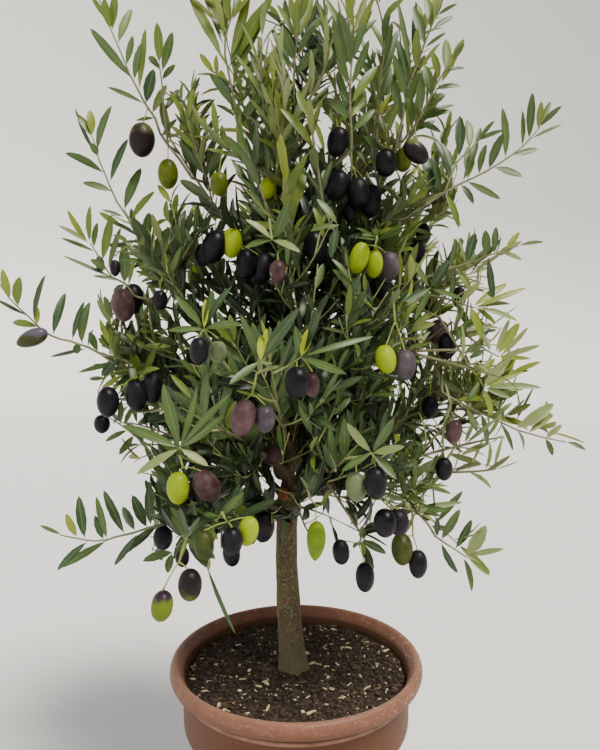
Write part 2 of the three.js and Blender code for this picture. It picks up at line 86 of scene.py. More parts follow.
# Pot: a thin moulded planter of clay-coloured plastic, with a tapered body, a wide collar and
# a rolled rim that has picked up dust and scuffs. The rim is painted paler than the body, as
# painted light on it over painted shade below, and its top, its seam and flecks on its right
# side carry painted highlights. Its inside above the soil is painted darker as shade. Four
# drain holes are cut through its floor.
POT_HEIGHT = 260
RIM_RADIUS = 160
RIM_WIDTH = 13
RIM_DEPTH = 20
COLLAR_RADIUS = 144
COLLAR_FOOT = 180
BODY_TOP_RADIUS = 133.5
BODY_TOP = 165
BASE_RADIUS = 110
POT_WALL = 3.4
POT_FLOOR = 6
SOIL_TOP = 239
RIM_TURN = (-100, 138)  # degrees between which the roll of the rim is round
RIM_STEPS = 26
POT_SEGMENTS = 160
CORNER_STEPS = 5
SEAM = (227, 228.6, 231.6, 233.4)  # heights where the seam under the rim rises and falls
# heights of the pale line of dust and painted highlight along the seam
SEAM_DUST_AND_HIGHLIGHT = (227.5, 228.5, 232, 233)
BEAD = 1.4  # how far the seam stands out
DUST_HEIGHTS = (236, 262)
CHIP_AND_GLINT_HEIGHTS = (243, 252)
CHIP_AND_GLINT_SIDE = (50, 150)  # how far to the right the rim carries chips and painted highlights
DRAIN_HOLES = 4
DRAIN_RADIUS = 7
DRAIN_CIRCLE = 62
DRAIN_TURN = 45
DRAIN_SEGMENTS = 24
# The rim's colour is paler than the body's: painted light on the rim with some dust, and painted shade on
# the body below it.
CLAY = (0.088, 0.028, 0.0085)
CLAY_RIM_DUSTY_AND_LIT = (0.175, 0.075, 0.046)
# Dust on the rim, also used for its painted highlights.
CLAY_DUST_AND_LIGHT = (0.32, 0.17, 0.11)
CLAY_CHIP_AND_GLINT = (0.55, 0.36, 0.24)
CLAY_INSIDE_SHADE = (0.08, 0.036, 0.016)
INNER_RADIUS = 142.6  # what is nearer to the axis than this, above the soil, is painted darker as shade


def unit(vectors):
    """The same directions at length 1."""
    return vectors / np.linalg.norm(vectors, axis=-1, keepdims=True)


def mix(a, b, share):
    """What lies between a and b at a share of the way."""
    return a + (b - a) * share


def curve_of(a, b, c, share):
    """Where a curve from a to c, bent towards b, is at a share of it."""
    share = np.asarray(share, float)[..., None]
    return (1 - share) ** 2 * a + 2 * (1 - share) * share * b + share**2 * c


def rounded(profile):
    """A profile of [radius, height, rounding] rows, with its corners rounded."""
    corners = np.array([row[:2] for row in profile], float)
    points = []
    for i, (_, _, rounding) in enumerate(profile):
        if not rounding:
            points.append(corners[i])
            continue
        before, after = corners[i - 1] - corners[i], corners[i + 1] - corners[i]
        start = corners[i] + before * min(rounding / np.linalg.norm(before), 0.5)
        end = corners[i] + after * min(rounding / np.linalg.norm(after), 0.5)
        points.extend(curve_of(start, corners[i], end, np.linspace(0, 1, CORNER_STEPS)))
    return np.array(points)


def ring(radius, height, segments):
    """Points of a level circle about the upright axis."""
    turn = np.linspace(0, 2 * math.pi, segments, endpoint=False)
    return np.column_stack([radius * np.cos(turn), radius * np.sin(turn), np.full(segments, height)])


def turned(profile, segments):
    """A closed piece turned about the pot's axis. Its profile starts and ends on the axis."""
    rings = [ring(radius, height, segments) for radius, height in profile[1:-1]]
    foot, head = len(rings) * segments, len(rings) * segments + 1
    vertices = np.vstack([*rings, [0, 0, profile[0][1]], [0, 0, profile[-1][1]]])
    faces = []
    for k in range(segments):
        after = (k + 1) % segments
        faces.append((foot, after, k))
        for i in range(0, foot - segments, segments):
            faces.append((i + k, i + after, i + segments + after, i + segments + k))
        faces.append((head, foot - segments + k, foot - segments + after))
    return vertices, faces


def make_object(name, vertices, faces, materials):
    """A smooth shaded object, with its vertices taken to metres."""
    mesh = bpy.data.meshes.new(name)
    mesh.from_pydata(np.asarray(vertices) * MM, [], faces)
    for material in materials:
        mesh.materials.append(material)
    mesh.polygons.foreach_set("use_smooth", np.ones(len(mesh.polygons), bool))
    mesh.update()
    made = bpy.data.objects.new(name, mesh)
    bpy.context.scene.collection.objects.link(made)
    return made


def make_piece(name, vertices, faces, materials, slot):
    """A smooth shaded piece that rides on the plant."""
    piece = make_object(name, vertices, faces, materials)
    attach(piece, "root")
    return piece


def apply_modifiers(piece):
    """The piece's own mesh becomes what its modifiers make of it."""
    shown = piece.evaluated_get(bpy.context.evaluated_depsgraph_get())
    piece.data = bpy.data.meshes.new_from_object(shown)
    piece.modifiers.clear()


def feed(socket, value):
    """A number, a colour or the output of another node goes into a socket."""
    if isinstance(value, bpy.types.NodeSocket):
        socket.id_data.links.new(value, socket)
    else:
        socket.default_value = (*value, 1) if isinstance(value, tuple) else value


def node_beside(socket, kind):
    """A new node in the tree that a socket belongs to."""
    return socket.id_data.nodes.new("ShaderNode" + kind)


def worked_out(operation, first, second):
    """The sum, the difference or the product of two values."""
    node = node_beside(second, "Math")
    node.operation = operation
    feed(node.inputs[0], first)
    feed(node.inputs[1], second)
    return node.outputs[0]


def times(first, second):
    return worked_out("MULTIPLY", first, second)


def ramped(value, low, high, to_low=0.0, to_high=1.0):
    """A value taken from one range to another, and held at its ends."""
    node = node_beside(value, "MapRange")
    node.interpolation_type = "SMOOTHSTEP"
    sockets = ("Value", "From Min", "From Max", "To Min", "To Max")
    for name, number in zip(sockets, (value, low, high, to_low, to_high)):
        feed(node.inputs[name], number)
    return node.outputs["Result"]


# The mottling of weathered and grown surfaces: a mask of blotches that cover a share of the
# surface, and a height, both from one noise.
mottle = bpy.data.node_groups.new("mottle", "ShaderNodeTree")
for _name, _way, _kind, _usual in (
    ("Vector", "INPUT", "Vector", (0, 0, 0)),
    ("Scale", "INPUT", "Float", 20.0),
    ("Cover", "INPUT", "Float", 0.5),
    ("Softness", "INPUT", "Float", 0.15),
    ("Mask", "OUTPUT", "Float", 0.0),
    ("Height", "OUTPUT", "Float", 0.0),
):
    _socket = mottle.interface.new_socket(_name, in_out=_way, socket_type="NodeSocket" + _kind)
    _socket.default_value = _usual
_wanted = mottle.nodes.new("NodeGroupInput").outputs
_given = mottle.nodes.new("NodeGroupOutput").inputs
_noise = mottle.nodes.new("ShaderNodeTexNoise")
feed(_noise.inputs["Vector"], _wanted["Vector"])
feed(_noise.inputs["Scale"], _wanted["Scale"])
feed(_noise.inputs["Detail"], 6)
feed(_noise.inputs["Roughness"], 0.6)
_threshold = worked_out("SUBTRACT", 1.0, _wanted["Cover"])
_low = worked_out("SUBTRACT", _threshold, _wanted["Softness"])
_high = worked_out("ADD", _threshold, _wanted["Softness"])
feed(_given["Mask"], ramped(_noise.outputs["Fac"], _low, _high))
feed(_given["Height"], _noise.outputs["Fac"])


def new_material(name, colour, roughness, **sockets):
    """A material whose shader holds these plain values, and that shader."""
    material = bpy.data.materials.new(name)
    material.use_nodes = True
    shader = material.node_tree.nodes["Principled BSDF"]
    feed(shader.inputs["Base Color"], colour)
    feed(shader.inputs["Roughness"], roughness)
    for socket, value in sockets.items():
        feed(shader.inputs[socket.replace("_", " ")], value)
    return material, shader


def place_in(shader, stretch=(1, 1, 1)):
    """The object's own coordinates, stretched."""
    place = node_beside(shader, "TexCoord")
    mapping = node_beside(shader, "Mapping")
    mapping.inputs["Scale"].default_value = stretch
    feed(mapping.inputs["Vector"], place.outputs["Object"])
    return mapping.outputs["Vector"]


def mottled(place, scale, cover, softness):
    """A placed mottling: its mask and its height."""
    node = node_beside(place, "Group")
    node.node_tree = mottle
    for name, value in zip(("Vector", "Scale", "Cover", "Softness"), (place, scale, cover, softness)):
        feed(node.inputs[name], value)
    return node.outputs["Mask"], node.outputs["Height"]


COLOUR_UNDER, COLOUR_OVER, MIXED_COLOUR = 6, 7, 2  # the mix node's sockets for colours


def blended(mask, under, over):
    """One colour over another by a mask."""
    node = node_beside(mask, "Mix")
    node.data_type = "RGBA"
    feed(node.inputs["Factor"], mask)
    feed(node.inputs[COLOUR_UNDER], under)
    feed(node.inputs[COLOUR_OVER], over)
    return node.outputs[MIXED_COLOUR]


def brighter(colour, factor):
    return tuple(part * factor for part in colour)


def split_place(place):
    """How far a place is to the right, its height, and its distance from the upright axis."""
    split = node_beside(place, "SeparateXYZ")
    feed(split.inputs[0], place)
    level = node_beside(place, "CombineXYZ")
    for name in ("X", "Y"):
        feed(level.inputs[name], split.outputs[name])
    radius = node_beside(place, "VectorMath")
    radius.operation = "LENGTH"
    feed(radius.inputs[0], level.outputs[0])
    return split.outputs["X"], split.outputs["Z"], radius.outputs["Value"]


def ramped_mm(place, low, high, to_low=0.0, to_high=1.0):
    """A value taken from between two places in millimetres."""
    return ramped(place, low * MM, high * MM, to_low, to_high)


def dress(shader, colour, height, strength, distance, roughness=None):
    """A shader's colour, its roughness where that varies, and small relief from a height."""
    feed(shader.inputs["Base Color"], colour)
    if roughness:
        feed(shader.inputs["Roughness"], roughness)
    bump = node_beside(shader, "Bump")
    feed(bump.inputs["Strength"], strength)
    feed(bump.inputs["Distance"], distance * MM)
    feed(bump.inputs["Height"], height)
    feed(shader.inputs["Normal"], bump.outputs["Normal"])


clay, _shader = new_material("clay_plastic", CLAY, 0.55, Specular_IOR_Level=0.25)
_place = place_in(_shader)
_right, _level, _out = split_place(_place)
_patches, _ = mottled(_place, scale=16, cover=0.5, softness=0.22)
_body = blended(_patches, CLAY, brighter(CLAY, 1.2))
# Painted light: the rim takes its paler, dustier colour over the body's shaded one.
_lit_rim = ramped_mm(_level, POT_HEIGHT - RIM_DEPTH - 4, POT_HEIGHT - 4)
_faded, _ = mottled(_place, scale=42, cover=0.5, softness=0.2)
_lit_rim_skin = blended(_faded, CLAY_RIM_DUSTY_AND_LIT, brighter(CLAY_RIM_DUSTY_AND_LIT, 1.22))
_skin = blended(_lit_rim, _body, _lit_rim_skin)
_scuffs, _scuff_height = mottled(place_in(_shader, (1, 1, 2.4)), scale=130, cover=0.4, softness=0.07)
_dusty = times(_scuffs, ramped_mm(_level, *DUST_HEIGHTS, 0.12, 0.7))
_skin = blended(_dusty, _skin, CLAY_DUST_AND_LIGHT)
# Dust and painted highlight: the rim's top is paler, as dust and as the light that falls on it.
_dust_and_light_on_top = ramped_mm(_level, POT_HEIGHT - 3, POT_HEIGHT, 0, 0.35)
_skin = blended(_dust_and_light_on_top, _skin, CLAY_DUST_AND_LIGHT)
# Chips with painted highlights: pale flecks near the rim's top, only on its right side, where the light
# falls.
_chip_and_glint_flecks, _ = mottled(place_in(_shader, (1, 1, 1.3)), scale=170, cover=0.37, softness=0.03)
_chips_and_glints = times(_chip_and_glint_flecks, ramped_mm(_right, *CHIP_AND_GLINT_SIDE, 0.1, 1))
_chips_and_glints = times(_chips_and_glints, ramped_mm(_level, *CHIP_AND_GLINT_HEIGHTS))
_skin = blended(_chips_and_glints, _skin, CLAY_CHIP_AND_GLINT)
# A pale line along the seam bead, of dust and painted highlight.
_over_seam = ramped_mm(_level, *SEAM_DUST_AND_HIGHLIGHT[:2])
_seam_dust_and_highlight = times(_over_seam, ramped_mm(_level, *SEAM_DUST_AND_HIGHLIGHT[2:], 1, 0))
_seam_dust_and_highlight = times(_seam_dust_and_highlight, ramped(_faded, 0, 1, 0.4, 0.9))
_skin = blended(_seam_dust_and_highlight, _skin, CLAY_DUST_AND_LIGHT)
# Painted shade: the inside wall above the soil is darker.
_near = ramped_mm(_out, INNER_RADIUS - 0.6, INNER_RADIUS + 0.6, 1, 0)
_shaded_inside = times(_near, ramped_mm(_level, SOIL_TOP - 1, SOIL_TOP))
_skin = blended(_shaded_inside, _skin, CLAY_INSIDE_SHADE)
_roughness = ramped(_scuffs, 0, 1, 0.5, 0.7)
dress(_shader, _skin, _scuff_height, strength=0.12, distance=0.6, roughness=_roughness)

_rim = [
    [
        RIM_RADIUS - RIM_WIDTH / 2 + RIM_WIDTH / 2 * math.cos(turn),
        POT_HEIGHT - RIM_DEPTH / 2 + RIM_DEPTH / 2 * math.sin(turn),
        0,
    ]
    for turn in np.radians(np.linspace(*RIM_TURN, RIM_STEPS))
]
_pot_profile = rounded([
    [0, 0, 0],
    [BASE_RADIUS - 4, 0, 3],
    [BASE_RADIUS, 5, 4],
    [BODY_TOP_RADIUS, BODY_TOP, 7],
    [COLLAR_RADIUS - 1, COLLAR_FOOT, 6],
    [COLLAR_RADIUS - 0.1, SEAM[0], 1],
    [COLLAR_RADIUS + BEAD, SEAM[1], 0.7],
    [COLLAR_RADIUS + BEAD, SEAM[2], 0.7],
    [COLLAR_RADIUS + 0.2, SEAM[3], 0.8],
    [_rim[0][0] - 3, 240.4, 1.2],
    *_rim,
    [COLLAR_RADIUS - POT_WALL + 2.6, 250, 5],
    [COLLAR_RADIUS - POT_WALL, SOIL_TOP, 2],
    [COLLAR_RADIUS - POT_WALL, COLLAR_FOOT, 4],
    [BODY_TOP_RADIUS - POT_WALL, BODY_TOP, 4],
    [BASE_RADIUS - POT_WALL, POT_FLOOR, 4],
    [0, POT_FLOOR, 0],
])
pot = make_piece("planter", *turned(_pot_profile, POT_SEGMENTS), [clay], "pot_plastic")
_drill_profile = [
    (0, -POT_FLOOR),
    (DRAIN_RADIUS, -POT_FLOOR),
    (DRAIN_RADIUS, 2 * POT_FLOOR),
    (0, 2 * POT_FLOOR),
]
for i in range(DRAIN_HOLES):
    _turn = math.radians(DRAIN_TURN + i * 360 / DRAIN_HOLES)
    _vertices, _faces = turned(_drill_profile, DRAIN_SEGMENTS)
    _vertices += DRAIN_CIRCLE * np.array([math.cos(_turn), math.sin(_turn), 0])
    _drill = make_piece("drill", _vertices, _faces, [], "pot_plastic")
    _cut = pot.modifiers.new("drain", "BOOLEAN")
    _cut.object = _drill
    apply_modifiers(pot)
    bpy.data.objects.remove(_drill)
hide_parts("pot")


# Soil: moist dark potting mix that fills the pot to just below its rim, lumpy on top and
# strewn with crumbs, cream perlite and seed husks, and bark chips.
SOIL_GAP = 0.3
SOIL_RINGS = 84
SOIL_SEGMENTS = 200
SOIL_RADIUS = COLLAR_RADIUS - POT_WALL - SOIL_GAP
EARTH = (0.021, 0.0135, 0.0075)
EARTH_LIGHT = (0.07, 0.048, 0.028)
CRUMB = (0.028, 0.018, 0.0105)
PERLITE = (0.62, 0.55, 0.35)
HUSK = (0.6, 0.52, 0.3)
CHIP = (0.07, 0.036, 0.018)
FOOT_X = -4  # where the trunk stands
FOOT_Y = 3
LUMP_HEIGHT, LUMP_SIZE = 2.4, 30
CLOD_HEIGHT, CLOD_SIZE = 1.5, 7
MOUND_HEIGHT, MOUND_SIZE = 2.2, 34  # round the trunk's foot
SUNK_WIDTH, SUNK_DEPTH = 9, 0.028  # along the wall, where watering washes the soil down
BARE_EDGE = 5  # width along the wall where nothing is strewn
BARE_FOOT = 20  # and the radius of the same round the trunk
SMALL_ONES = 2.2  # how much more often a strewn piece is small than large
MOST_TILT = 0.5


def soil_height(x, y):
    """How far the soil stands above its level at a place."""
    lumps = LUMP_HEIGHT * noise.fractal((x / LUMP_SIZE, y / LUMP_SIZE, 0.5), 0.9, 2.1, 3)
    clods = CLOD_HEIGHT * noise.fractal((x / CLOD_SIZE, y / CLOD_SIZE, 4.2), 0.7, 2.2, 3)
    wall = max(0, math.hypot(x, y) - SOIL_RADIUS + SUNK_WIDTH)
    mound = MOUND_HEIGHT * math.exp(-((math.hypot(x - FOOT_X, y - FOOT_Y) / MOUND_SIZE) ** 2))
    return lumps + clods + mound - SUNK_DEPTH * wall**2


_top = [(SOIL_RADIUS * (i / SOIL_RINGS) ** 0.8, 0) for i in range(SOIL_RINGS + 1)]
_side = [
    (SOIL_RADIUS, COLLAR_FOOT - SOIL_TOP),
    (BODY_TOP_RADIUS - POT_WALL - SOIL_GAP, BODY_TOP - SOIL_TOP),
    (BASE_RADIUS - POT_WALL - SOIL_GAP, POT_FLOOR + SOIL_GAP - SOIL_TOP),
    (0, POT_FLOOR + SOIL_GAP - SOIL_TOP),
]
_vertices, _faces = turned([*_side[::-1], *_top[::-1]], SOIL_SEGMENTS)
for vertex in _vertices:
    if vertex[2] == 0:
        vertex[2] = soil_height(vertex[0], vertex[1])
_vertices[:, 2] += SOIL_TOP
earth, _shader = new_material("potting_mix", EARTH, 0.95, Specular_IOR_Level=0.25)
_damp, _ = mottled(place_in(_shader), scale=45, cover=0.45, softness=0.2)
_grain, _grain_height = mottled(place_in(_shader), scale=420, cover=0.42, softness=0.1)
_dark = blended(_damp, EARTH, brighter(EARTH, 1.7))
_skin = blended(_grain, _dark, EARTH_LIGHT)
dress(_shader, _skin, _grain_height, strength=0.9, distance=2.5)
soil = make_piece("soil_body", _vertices, _faces, [earth], "potting_soil")
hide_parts("soil")


def ball(subdivisions):
    """The corners and faces of a faceted ball of radius 1."""
    form = bmesh.new()
    bmesh.ops.create_icosphere(form, subdivisions=subdivisions, radius=1)
    vertices = np.array([v.co for v in form.verts])
    faces = np.array([[v.index for v in f.verts] for f in form.faces])
    form.free()
    return vertices, faces


def turns(random, count, tilt):
    """Random rotation matrices: a turn about the upright, then a tilt about a level axis."""
    spin, lean, way = random.uniform(0, 2 * math.pi, (3, count))
    lean = lean / math.pi * tilt - tilt
    zero, one = np.zeros(count), np.ones(count)
    cosine, sine, x, y = np.cos(spin), np.sin(spin), np.cos(way), np.sin(way)
    upright = np.array([[cosine, -sine, zero], [sine, cosine, zero], [zero, zero, one]])
    upright = upright.transpose(2, 0, 1)
    cross = np.array([[zero, zero, y], [zero, zero, -x], [-y, x, zero]]).transpose(2, 0, 1)
    sine, cosine = np.sin(lean)[:, None, None], np.cos(lean)[:, None, None]
    return (np.eye(3) + sine * cross + (1 - cosine) * (cross @ cross)) @ upright


def strewn(name, skin, form, count, sizes, flatness, lift, jitter, seed):
    """Many small lumps on the soil. sizes is the range of half their length, flatness how
    narrow and how low they are beside it, and lift how far they stand out."""
    random = np.random.default_rng(seed)
    corners, faces = form
    radius = np.sqrt(random.uniform(0, 1, count)) * (SOIL_RADIUS - BARE_EDGE)
    turn = random.uniform(0, 2 * math.pi, count)
    x, y = radius * np.cos(turn), radius * np.sin(turn)
    half = mix(*sizes, random.uniform(0, 1, count) ** SMALL_ONES)
    shape = half[:, None] * np.array([1, *flatness]) * random.uniform(0.8, 1.2, (count, 3))
    rough = 1 + jitter * random.uniform(-1, 1, (count, len(corners), 1))
    local = corners[None] * rough * shape[:, None]
    local = np.einsum("nij,nvj->nvi", turns(random, count, MOST_TILT), local)
    z = np.array([soil_height(*place) for place in zip(x, y)]) + SOIL_TOP + lift * shape[:, 2]
    vertices = local + np.column_stack([x, y, z])[:, None]
    vertices = vertices[np.hypot(x - FOOT_X, y - FOOT_Y) > BARE_FOOT + half]
    starts = np.arange(len(vertices)) * len(corners)
    rows = (faces[None] + starts[:, None, None]).reshape(-1, 3)
    make_piece(name, vertices.reshape(-1, 3), rows.tolist(), [skin], "potting_soil")


def speckled(name, colour, light, scale, roughness):
    """Matt skin with lighter specks."""
    material, shader = new_material(name, colour, roughness)
    spots, height = mottled(place_in(shader), scale, cover=0.45, softness=0.15)
    dress(shader, blended(spots, colour, light), height, strength=0.5, distance=0.8)
    return material


crumb_skin = speckled("soil_crumb", CRUMB, (0.075, 0.05, 0.03), scale=300, roughness=0.95)
perlite_skin = speckled("perlite", PERLITE, (0.75, 0.68, 0.45), scale=160, roughness=0.8)
husk_skin = speckled("seed_husk", HUSK, (0.34, 0.25, 0.11), scale=90, roughness=0.7)
chip_skin = speckled("bark_chip", CHIP, (0.14, 0.085, 0.048), scale=150, roughness=0.85)
strewn("soil_crumbs", crumb_skin, ball(1), count=4200, sizes=(0.8, 4.2), flatness=(0.8, 0.7),
       lift=0.35, jitter=0.28, seed=11)
strewn("perlite_grains", perlite_skin, ball(1), count=60, sizes=(1.3, 3.6), flatness=(0.75, 0.55),
       lift=0.7, jitter=0.16, seed=12)
strewn("seed_husks", husk_skin, ball(2), count=300, sizes=(1.6, 6.4), flatness=(0.32, 0.22),
       lift=0.9, jitter=0.06, seed=13)
strewn("bark_chips", chip_skin, ball(1), count=170, sizes=(3, 10), flatness=(0.36, 0.16),
       lift=0.9, jitter=0.3, seed=14)


# Trunk and boughs: one living piece of wood, flared and lobed at the soil, swollen at the
# fork where the boughs leave it, with thin mottled bark that is ridged and pitted all over.
GAP = 0.3
SWAY = 8.5
SWAY_LENGTH = 330
LEAN_BACK = 10
FORK_HEIGHT = 215
FORK_START = 207
FORK_LENGTH = 40
FORK_SWELL = 2.2
SWELL_HEIGHT = 18
TRUNK_LENGTH = 560
BUTT_RADIUS = 16.8
FORK_RADIUS = 12.8
LEADER_RADIUS = 9.2
LEADER_TIP_RADIUS = 3.4
FLARE = 3.2
FLARE_HEIGHT = 16
ROOT_LOBES = 5
LOBE_DEPTH = 0.11
LOBE_HEIGHT = 30
LOBE_TURN = 0.8
STUB_HEIGHT = 226
STUB_AZIMUTH = 252
STUB_RISE = 0.3
STUB_RADIUS = 7.5
STUB_SWELL = 1.6  # how much thicker the stub is at the trunk
STUB_LENGTH = 5
LEAF_REACH = 84  # how far the last leaf of a limb stands past its tip
BOUGH_SHARE = 0.33  # of a limb's length, before its foliage starts
TIP_SHARE = 0.3  # a limb's radius at its tip, as a share of that at the trunk
COLLAR = 2.0  # how much thicker a bough is where it leaves the trunk
COLLAR_START = 8
COLLAR_LENGTH = 10
TRUNK_RINGS = 90
TRUNK_SIDES = 40
STUB_RINGS = 6
STUB_SIDES = 20
BOUGH_RINGS = 14
BOUGH_SIDES = 14
WOOD_GRAIN = 1.5  # size of the faces that carry the relief
WOOD_SOFTENING = 6
RELIEF_PAST_AXIS = (1.25, 40, 0.35)  # how the relief fades to its least away from the axis
RELIEF_PAST_SOIL = (1.2, 700, 0.4)  # and with height
FOOT_FADE = (240, 320)  # heights between which the foot's pale bark fades out
UP = np.array([0, 0, 1.0])
BARK = (0.084, 0.063, 0.031)
BARK_DARK = (0.042, 0.031, 0.015)
BARK_PALE = (0.17, 0.145, 0.085)
BARK_FOOT = (0.17, 0.14, 0.085)

# Limbs: name, height above the soil where it leaves the trunk, azimuth in degrees (0 is +X,
# 270 faces the front), reach from the pot's axis, height of its tip above the soil, how far
# it arches above a straight line, and its radius at the trunk.
LIMBS = [
    ("low_left", 201, 187, 313, 201, 0, 4.6),
    ("low_front_left", 205, 234, 253, 213, 13, 4.4),
    ("low_front_right", 226, 286, 261, 349, -8, 4.6),
    ("low_right_front", 207, 331, 247, 164, 41, 4.4),
    ("low_right", 228, 350, 349, 299, 50, 5.0),
    ("low_back_right", 214, 38, 272, 238, 30, 4.6),
    ("low_back", 200, 91, 256, 215, 30, 4.4),
    ("low_back_left", 217, 138, 290, 262, 25, 4.6),
    ("left_back", 246, 170, 344, 437, 26, 5.0),
    ("left", 280, 190, 353, 470, 10, 4.8),
    ("front_left", 254, 247, 289, 372, 4, 4.8),
    ("front", 290, 265, 276, 430, -12, 4.6),
    ("front_right", 322, 304, 248, 518, -2, 4.4),
    ("right", 266, 0, 313, 396, 3, 4.6),
    ("right_back", 306, 11, 312, 555, 26, 4.8),
    ("back_right", 286, 52, 300, 440, 12, 4.8),
    ("back", 312, 89, 292, 425, 12, 4.6),
    ("back_left", 264, 127, 305, 405, 12, 4.8),
    ("upper_left", 346, 200, 268, 678, -36, 4.4),
    ("upper_front", 362, 267, 200, 619, 8, 4.0),
    ("upper_front_right", 388, 338, 204, 755, 14, 4.0),
    ("upper_right", 452, 0, 326, 716, 8, 4.2),
    ("upper_back_right", 404, 43, 250, 690, -10, 4.2),
    ("upper_back_left", 424, 160, 298, 600, 6, 4.2),
    ("upper_back", 440, 92, 225, 700, -10, 4.0),
]
# Limbs too slight for a bough, whose foliage starts on the trunk.
SHOOTS = [
    ("low_sprig", 214, 306, 178, 203, 3, 2.6),
    ("top_left", 482, 187, 249, 845, -34, 3.6),
    ("top_front_left", 506, 225, 140, 850, -24, 3.2),
    ("top_front_right", 496, 310, 104, 830, -34, 3.2),
    ("top_right", 530, 12, 189, 875, -16, 3.4),
    ("top_back", 518, 112, 150, 862, -16, 3.2),
    ("crown_tip", TRUNK_LENGTH, 350, 12, 935, 0, LEADER_TIP_RADIUS),
]


def level_way(degrees):
    """The level direction at an azimuth."""
    return np.array([math.cos(math.radians(degrees)), math.sin(math.radians(degrees)), 0])


def trunk_middle(height):
    """The trunk's middle line at a height above the soil."""
    return np.array([
        FOOT_X - SWAY * math.sin(math.pi * height / SWAY_LENGTH),
        FOOT_Y + LEAN_BACK * (height / TRUNK_LENGTH) ** 2,
        SOIL_TOP + GAP + height,
    ])


def trunk_radius(height):
    below = mix(BUTT_RADIUS, FORK_RADIUS, height / FORK_HEIGHT)
    share = (height - FORK_HEIGHT) / (TRUNK_LENGTH - FORK_HEIGHT)
    above = mix(LEADER_RADIUS, LEADER_TIP_RADIUS, share)
    past = min(1, max(0, (height - FORK_START) / FORK_LENGTH))
    flare = FLARE * math.exp(-max(0, height) / FLARE_HEIGHT)
    swell = FORK_SWELL * math.exp(-(((height - FORK_HEIGHT) / SWELL_HEIGHT) ** 2))
    return mix(below, above, past * past * (3 - 2 * past)) + flare + swell


def limb_of(name, height, azimuth, reach, tip_height, arch, radius):
    """A limb as a curve from the trunk's middle to where its last leaf grows."""
    start = trunk_middle(height)
    leaf_tip = level_way(azimuth) * reach + UP * (SOIL_TOP + tip_height)
    aim = (start + leaf_tip) / 2 + UP * 2 * arch
    tip = leaf_tip - unit(leaf_tip - aim) * LEAF_REACH
    middle = (start + tip) / 2 + UP * 2 * arch
    return SimpleNamespace(name=name, curve=(start, middle, tip), leaf_tip=leaf_tip, radius=radius)


def tube(points, radii, sides, lobes=None):
    """A closed tapering tube round a line of points."""
    ways = unit(np.gradient(points, axis=0))
    across = level_way(0) if abs(ways[0][0]) < 0.9 else level_way(90)
    turn = np.linspace(0, 2 * math.pi, sides, endpoint=False)
    rings = []
    for i, (point, way, radius) in enumerate(zip(points, ways, radii)):
        across = unit(across - way * (across @ way))
        third = np.cross(way, across)
        out = radius * (lobes(turn, i) if lobes else np.ones(sides))
        rings.append(point + np.outer(out * np.cos(turn), across) + np.outer(out * np.sin(turn), third))
    k = np.arange(sides)
    after = (k + 1) % sides
    band = np.column_stack([k, after, after + sides, k + sides])
    faces = [tuple(row) for i in range(len(points) - 1) for row in (band + i * sides).tolist()]
    last = (len(points) - 1) * sides
    faces.append(tuple(range(sides - 1, -1, -1)))
    faces.append(tuple(range(last, last + sides)))
    return np.vstack(rings), faces


def joined(parts):
    """Several (vertices, faces) as one."""
    vertices, faces, start = [], [], 0
    for corners, rows in parts:
        vertices.append(corners)
        faces.extend(tuple(i + start for i in row) for row in rows)
        start += len(corners)
    return np.vstack(vertices), faces


limbs = [limb_of(*row) for row in LIMBS]
slight_limbs = [limb_of(*row) for row in SHOOTS]

_heights = np.concatenate([[-5], np.linspace(0, TRUNK_LENGTH, TRUNK_RINGS)])
_line = np.array([trunk_middle(h) for h in _heights])


def root_lobes(turn, number):
    """The outline of one of the trunk's rings, with lobes that die out above the soil."""
    depth = LOBE_DEPTH * math.exp(-max(0, _heights[number]) / LOBE_HEIGHT)
    return 1 + depth * np.cos(ROOT_LOBES * turn + LOBE_TURN)


_wood = [tube(_line, [trunk_radius(h) for h in _heights], TRUNK_SIDES, root_lobes)]
_stub_way = unit(level_way(STUB_AZIMUTH) + UP * STUB_RISE)
_stub_start = trunk_middle(STUB_HEIGHT)
_stub_end = _stub_start + _stub_way * (trunk_radius(STUB_HEIGHT) + STUB_LENGTH)
_shares = np.linspace(0, 1, STUB_RINGS)
_stub_line = mix(_stub_start, _stub_end, _shares[:, None])
_wood.append(tube(_stub_line, mix(STUB_RADIUS + STUB_SWELL, STUB_RADIUS, _shares), STUB_SIDES))
for limb in limbs:
    _shares = np.linspace(0, BOUGH_SHARE + 0.02, BOUGH_RINGS)
    _points = curve_of(*limb.curve, _shares)
    _out = np.linalg.norm(_points - _points[0], axis=1)
    _collar = COLLAR * np.exp(-np.maximum(0, _out - COLLAR_START) / COLLAR_LENGTH)
    _wood.append(tube(_points, limb.radius * mix(1, TIP_SHARE, _shares) + _collar, BOUGH_SIDES))

bark, _shader = new_material("olive_bark", BARK, 0.85, Specular_IOR_Level=0.3)
_plates, _ = mottled(place_in(_shader, (1, 1, 0.42)), scale=55, cover=0.45, softness=0.16)
_flecks, _fleck_height = mottled(place_in(_shader), scale=290, cover=0.42, softness=0.05)
_streaks, _ = mottled(place_in(_shader, (1, 1, 0.35)), scale=210, cover=0.4, softness=0.12)
_skin = blended(_plates, BARK, brighter(BARK, 1.35))
_skin = blended(_streaks, _skin, BARK_DARK)
_at_foot = ramped_mm(split_place(place_in(_shader))[1], *FOOT_FADE, 0.6, 0)
_skin = blended(_at_foot, _skin, BARK_FOOT)
_skin = blended(_flecks, _skin, BARK_PALE)
dress(_shader, _skin, _fleck_height, strength=0.5, distance=0.9)

wood = make_piece("trunk_and_boughs", *joined(_wood), [bark], "bark")
_fuse = wood.modifiers.new("fuse", "REMESH")
_fuse.mode = "VOXEL"
_fuse.voxel_size = WOOD_GRAIN * MM
_soften = wood.modifiers.new("soften", "SMOOTH")
_soften.factor = 0.5
_soften.iterations = WOOD_SOFTENING
apply_modifiers(wood)


